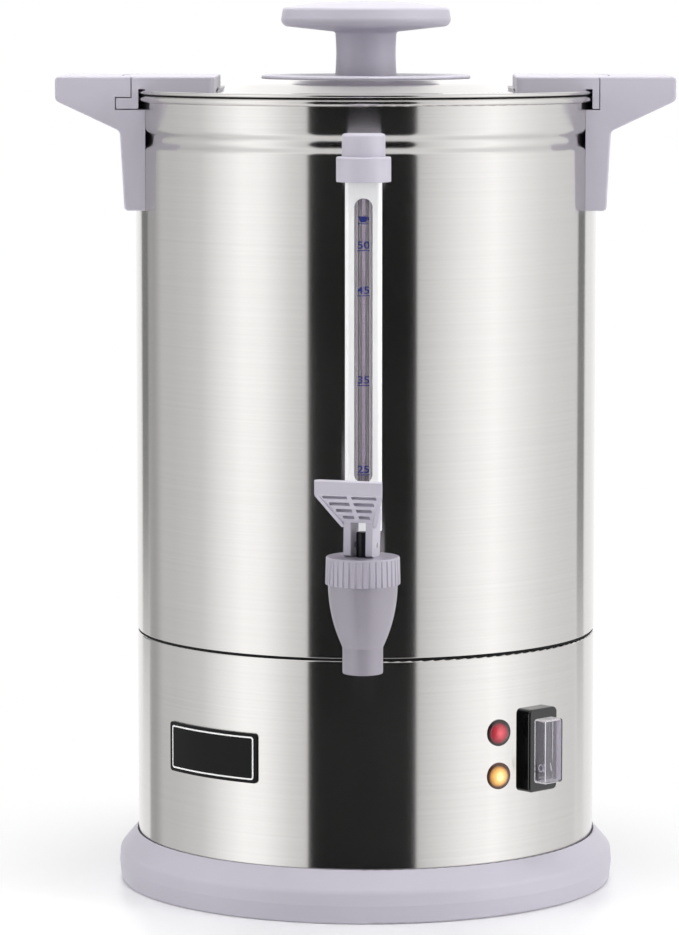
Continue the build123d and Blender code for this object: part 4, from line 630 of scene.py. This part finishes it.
class URN_OT_controls(bpy.types.Operator):
    """Finish the switch, its marks, the indicator lenses and the bare badge with its line"""
    bl_idname = "urn.controls"
    bl_label = "Controls and badge"

    def execute(self, context):
        look = context.scene.urn_print
        dress(moulded_plastic("pbt_black_gloss", "08080A", 0.22, 1.2, coat=0.4), "switch_housing",
              "switch_rocker")
        dress(clear_piece("polycarbonate_clear", "DAD6E2", 1.5, 0.06, 0.05), "switch_cover")
        for lamp, (name, height, tones, glow) in LAMPS.items():
            dress(lens_plastic(name, height, tones, glow), lamp)
        # These small pieces are left out of what the steel mirrors.
        for name in ("switch_housing", "switch_rocker", "switch_cover", *LAMPS):
            NODES[name].visible_glossy = False
        dress(moulded_plastic("enamel_black", "08080A", 0.4, 2.0, ior=1.25), "badge_plate")
        white = printed_ink("ink_white", "F4F4F2")

        half_width, half_height = (size / 2 - BADGE_INSET for size in BADGE_SIZE)
        outer = rounded_loop(half_width, half_height, LINE_CORNERS[0])
        inner = rounded_loop(half_width - look.line_width, half_height - look.line_width, LINE_CORNERS[1])
        line = divided(flat_loop(outer, inner), LINE_FACET)
        wrapped(line, (0, 0), BADGE_FACE_R + LINE_LIFT, BADGE_AZ, BADGE_Z)
        keep(mesh_object("badge_line", line, white), "root")

        ring = flat_loop(rounded_loop(*RING_OUTER), rounded_loop(*RING_INNER))
        marks = [self.on_rocker(ring, RING_ASIDE, MARKS_UP),
                 self.on_rocker(flat_bar(BAR_HALF), BAR_ASIDE, MARKS_UP)]
        keep(mesh_object("rocker_marks", merged("rocker_marks", marks), white), "rocker")
        return {"FINISHED"}

    def on_rocker(self, mesh, aside, up):
        """Lay a flat mark on the rocker's face, so far to the right of its middle and above it."""
        tilt = math.radians(ROCKER_REST)
        outward = Matrix.Rotation(math.radians(SWITCH_AZ), 3, "Z")
        for vertex in mesh.vertices:
            across, rise, _ = vertex.co
            across += aside
            rise += up
            hollow = ROCKER_BULGE * (1 - abs(rise) / ROCKER_HALF)
            out = ROCKER_FACE_R - hollow + MARK_LIFT - ROCKER_PIVOT_R
            high = rise * math.cos(tilt) + out * math.sin(tilt)
            forward = out * math.cos(tilt) - rise * math.sin(tilt)
            vertex.co = outward @ Vector((ROCKER_PIVOT_R + forward, across, 0)) * MM
            vertex.co.z = (SWITCH_Z + high) * MM
        return mesh_object("mark", mesh)


def weld_tree(material):
    """Node tree: flattened beads in a row up the wall, as a run of weld leaves them."""
    tree = bpy.data.node_groups.new("weld_run", "GeometryNodeTree")
    face = tree.interface
    for name, default in (("Foot", 0.0), ("Head", 0.1), ("Pitch", 0.0013), ("Width", 0.0022),
                          ("Rise", 0.0003), ("Radius", 0.11), ("Azimuth", 0.0)):
        socket = face.new_socket(name, in_out="INPUT", socket_type="NodeSocketFloat")
        socket.default_value = default
    face.new_socket("Geometry", in_out="OUTPUT", socket_type="NodeSocketGeometry")
    given = add(tree, "NodeGroupInput").outputs
    run = add(tree, "ShaderNodeMath", {0: given["Head"], 1: given["Foot"]}, operation="SUBTRACT")
    count = add(tree, "ShaderNodeMath", {0: run.outputs[0], 1: given["Pitch"]}, operation="DIVIDE")
    start = add(tree, "ShaderNodeCombineXYZ", {"X": given["Radius"], "Z": given["Foot"]})
    step = add(tree, "ShaderNodeCombineXYZ", {"Z": given["Pitch"]})
    row = add(tree, "GeometryNodeMeshLine", {"Count": count.outputs[0], "Start Location": start.outputs[0],
                                             "Offset": step.outputs[0]}, mode="OFFSET")
    bead = add(tree, "GeometryNodeMeshUVSphere", {"Segments": 10, "Rings": 6, "Radius": 0.5})
    size = add(tree, "ShaderNodeCombineXYZ", {"X": given["Rise"], "Y": given["Width"], "Z": given["Width"]})
    beads = add(tree, "GeometryNodeInstanceOnPoints", {"Points": row.outputs[0], "Instance": bead.outputs[0],
                                                       "Scale": size.outputs[0]})
    turn = add(tree, "ShaderNodeCombineXYZ", {"Z": given["Azimuth"]})
    real = add(tree, "GeometryNodeRealizeInstances", {0: beads.outputs[0]})
    placed = add(tree, "GeometryNodeTransform", {"Geometry": real.outputs[0], "Rotation": turn.outputs[0]})
    smooth = add(tree, "GeometryNodeSetShadeSmooth", {"Geometry": placed.outputs[0]})
    final = add(tree, "GeometryNodeSetMaterial", {"Geometry": smooth.outputs[0], "Material": material})
    add(tree, "NodeGroupOutput", {"Geometry": final.outputs[0]})
    return tree


def grown(name, tree, values):
    """Run a node tree on an empty piece and keep the result as a plain mesh."""
    obj = mesh_object(name, bpy.data.meshes.new(name))
    modifier = obj.modifiers.new(name, "NODES")
    modifier.node_group = tree
    for socket in tree.interface.items_tree:
        if socket.in_out == "INPUT" and socket.name in values:
            modifier[socket.identifier] = values[socket.name]
    obj.update_tag()
    result = bpy.data.meshes.new_from_object(obj.evaluated_get(bpy.context.evaluated_depsgraph_get()))
    obj.modifiers.clear()
    obj.data = result
    return obj


class URN_OT_welds(bpy.types.Operator):
    """Run the welds that close the tank's and the base shell's sheet at the back"""
    bl_idname = "urn.welds"
    bl_label = "Weld seams"

    def execute(self, context):
        look = context.scene.urn_weld
        tree = weld_tree(plain_metal("stainless_weld", "B9B7B4", 0.38, second="A7A29B"))
        for name, (foot, head) in WELDS.items():
            seam = grown(name, tree, {
                "Foot": foot * MM, "Head": head * MM, "Pitch": look.pitch * MM, "Width": look.width * MM,
                "Rise": WELD_RISE * MM, "Radius": SHELL_R * MM, "Azimuth": math.radians(look.azimuth)})
            keep(seam, "root")
        return {"FINISHED"}


class URN_OT_stage(bpy.types.Operator):
    """Set the floor, softboxes, dark cards, lamps, room light and camera"""
    bl_idname = "urn.stage"
    bl_label = "Stage"

    def execute(self, context):
        look = context.scene.urn_stage
        self.room(context, look)
        self.floor()
        black = self.card_material("card_black", CARD_BLACK)
        grey = self.card_material("card_grey", CARD_GREY)
        white = self.card_material("backdrop_white", look.backdrop)
        powers = {"left": look.left_power, "right": look.right_power}
        for name, (side, (near, far, flag), levels) in SOFTBOXES.items():
            self.wall(f"softbox_{name}", near, far, side, self.softbox_material(name, levels, look))
            self.wall(f"flag_{name}", far, flag, side, grey, FLAG_FOOT)
            self.wall(f"card_{name}", 0.0, near, side, black)
            self.wall(f"backdrop_{name}", flag, 180.0, side, white, BACKDROP_FOOT)
            x, y, z = SIDE_LAMP_PLACE
            self.lamp(f"lamp_{name}", (side * x, y, z), SIDE_LAMP_SIZE, powers[name])
        self.lamp("lamp_top", TOP_LAMP_PLACE, TOP_LAMP_SIZE, look.top_power)
        self.camera(context, look)
        context.scene.view_settings.view_transform = "Standard"
        return {"FINISHED"}

    def room(self, context, look):
        """White to the camera, in gloss and through clear pieces, and a weaker fill on matt surfaces."""
        world = bpy.data.worlds.new("room")
        context.scene.world = world
        world.use_nodes = True
        tree = world.node_tree
        tree.nodes.clear()
        path = add(tree, "ShaderNodeLightPath")
        seen = add(tree, "ShaderNodeMath", {
            0: path.outputs["Is Camera Ray"], 1: path.outputs["Is Glossy Ray"]}, operation="MAXIMUM")
        seen = add(tree, "ShaderNodeMath", {
            0: seen.outputs[0], 1: path.outputs["Is Transmission Ray"]}, operation="MAXIMUM")
        level = add(tree, "ShaderNodeMix", {0: seen.outputs[0], 2: look.fill, 3: 1.0})
        glow = add(tree, "ShaderNodeBackground", {"Color": (1, 1, 1, 1), "Strength": level.outputs[0]})
        add(tree, "ShaderNodeOutputWorld", {"Surface": glow.outputs[0]})

    def floor(self):
        """A pale floor that keeps the urn's shadow and runs out into white."""
        material, tree, place = new_material("floor_white")
        reach = add(tree, "ShaderNodeVectorMath", {0: place}, operation="LENGTH")
        start, end = FLOOR_FADE
        fade = add(tree, "ShaderNodeMapRange", {
            "Value": reach.outputs["Value"], "From Min": start * MM, "From Max": end * MM},
            interpolation_type="SMOOTHSTEP")
        matt = add(tree, "ShaderNodeBsdfPrincipled", {"Base Color": linear("F7F7F8"), "Roughness": 0.35})
        path = add(tree, "ShaderNodeLightPath")
        seen = add(tree, "ShaderNodeMath", {
            0: path.outputs["Is Camera Ray"], 1: fade.outputs[0]}, operation="MULTIPLY")
        white = add(tree, "ShaderNodeEmission", {"Color": (1, 1, 1, 1), "Strength": 1.0})
        both = add(tree, "ShaderNodeMixShader", {0: seen.outputs[0], 1: matt.outputs[0], 2: white.outputs[0]})
        close_material(tree, both.outputs[0])
        turns = [2 * math.pi * i / FLOOR_STEPS for i in range(FLOOR_STEPS)]
        points = [(0, 0, 0)] + [(FLOOR_R * math.cos(turn), FLOOR_R * math.sin(turn), 0) for turn in turns]
        faces = [(0, 1 + i, 1 + (i + 1) % FLOOR_STEPS) for i in range(FLOOR_STEPS)]
        disc = made_from("floor", points, faces, material)
        disc.visible_glossy = False

    def wall(self, name, start, end, side, material, foot=WALL_FOOT):
        """An upright curved panel between two angles from the front, which only the gloss sees."""
        points = []
        for step in range(WALL_STEPS + 1):
            turn = math.radians(start + (end - start) * step / WALL_STEPS)
            x, y = side * WALL_R * math.sin(turn), -WALL_R * math.cos(turn)
            points += [(x, y, foot), (x, y, WALL_TOP)]
        faces = [(2 * i, 2 * i + 2, 2 * i + 3, 2 * i + 1) for i in range(WALL_STEPS)]
        panel = made_from(name, points, faces, material)
        for ray in ("camera", "diffuse", "transmission", "shadow", "volume_scatter"):
            setattr(panel, f"visible_{ray}", False)

    def card_material(self, name, level):
        """A card of one even brightness."""
        material, tree, _ = new_material(name)
        glow = add(tree, "ShaderNodeEmission", {"Color": (level, level, level, 1), "Strength": 1.0})
        close_material(tree, glow.outputs[0])
        return material

    def softbox_material(self, name, levels, look):
        """Bright in its middle and dimmer to both ends; levels go by the angle from the front."""
        material, tree, place = new_material(f"softbox_cloth_{name}")
        parts = add(tree, "ShaderNodeSeparateXYZ", {0: place})
        side = add(tree, "ShaderNodeMath", {0: parts.outputs["X"]}, operation="ABSOLUTE")
        ahead = add(tree, "ShaderNodeMath", {0: parts.outputs["Y"], 1: -1.0}, operation="MULTIPLY")
        turn = add(tree, "ShaderNodeMath", {0: side.outputs[0], 1: ahead.outputs[0]}, operation="ARCTAN2")
        share = add(tree, "ShaderNodeMath", {0: turn.outputs[0], 1: 1 / math.pi}, operation="MULTIPLY")
        ramp = add(tree, "ShaderNodeValToRGB", {"Fac": share.outputs[0]})
        stops = ramp.color_ramp.elements
        for stop, (angle, level) in zip((stops[0], stops[1]), (levels[0], levels[-1])):
            stop.position, stop.color = angle / 180, (level, level, level, 1)
        for angle, level in levels[1:-1]:
            stops.new(angle / 180).color = (level, level, level, 1)
        glow = add(tree, "ShaderNodeEmission", {"Color": ramp.outputs["Color"], "Strength": look.box_level})
        close_material(tree, glow.outputs[0])
        return material

    def lamp(self, name, place, size, watts):
        """A soft lamp that looks at the urn and that the steel doesn't mirror."""
        light = bpy.data.lights.new(name, "AREA")
        light.shape = "RECTANGLE"
        light.size, light.size_y = (length * MM for length in size)
        light.energy = watts
        obj = bpy.data.objects.new(name, light)
        bpy.context.scene.collection.objects.link(obj)
        obj.location = Vector(place) * MM
        aim = Vector(LAMP_AIM) - Vector(place)
        obj.rotation_euler = aim.to_track_quat("-Z", "Y").to_euler()
        obj.visible_glossy = False

    def camera(self, context, look):
        camera = bpy.data.cameras.new("camera")
        camera.lens = look.lens
        camera.sensor_width = SENSOR_WIDTH
        obj = bpy.data.objects.new("camera", camera)
        context.scene.collection.objects.link(obj)
        obj.location = look.eye
        obj.rotation_euler = (math.radians(90 - look.pitch), 0, math.radians(look.pan))
        context.scene.camera = obj


class URN_PT_panel(bpy.types.Panel):
    """Lists the urn's operators and their sizes and colours"""
    bl_idname = "URN_PT_panel"
    bl_label = "Coffee urn"
    bl_space_type = "VIEW_3D"
    bl_region_type = "UI"
    bl_category = "Urn"

    def draw(self, context):
        for operator, group in STEPS:
            box = self.layout.box()
            box.operator(operator)
            settings = getattr(context.scene, group) if group else None
            for name in (settings.__annotations__ if settings else ()):
                box.prop(settings, name)


# each operator with the settings that its box in the panel shows
STEPS = (("urn.steel", "urn_steel"), ("urn.plastic", "urn_plastic"), ("urn.small_parts", ""),
         ("urn.gauge", "urn_print"), ("urn.controls", ""), ("urn.welds", "urn_weld"),
         ("urn.stage", "urn_stage"))
GROUPS = {"urn_steel": UrnSteelSettings, "urn_plastic": UrnPlasticSettings, "urn_print": UrnPrintSettings,
          "urn_weld": UrnWeldSettings, "urn_stage": UrnStageSettings}
CLASSES = (*GROUPS.values(), URN_OT_steel, URN_OT_plastic, URN_OT_small_parts, URN_OT_gauge, URN_OT_controls,
           URN_OT_welds, URN_OT_stage, URN_PT_panel)


def register():
    for item in CLASSES:
        bpy.utils.register_class(item)
    for name, group in GROUPS.items():
        setattr(bpy.types.Scene, name, PointerProperty(type=group))


def unregister():
    for name in GROUPS:
        delattr(bpy.types.Scene, name)
    for item in reversed(CLASSES):
        bpy.utils.unregister_class(item)


def main():
    register()
    for operator, _ in STEPS:
        family, name = operator.split(".")
        getattr(getattr(bpy.ops, family), name)()


if __name__ == "__main__":
    main()
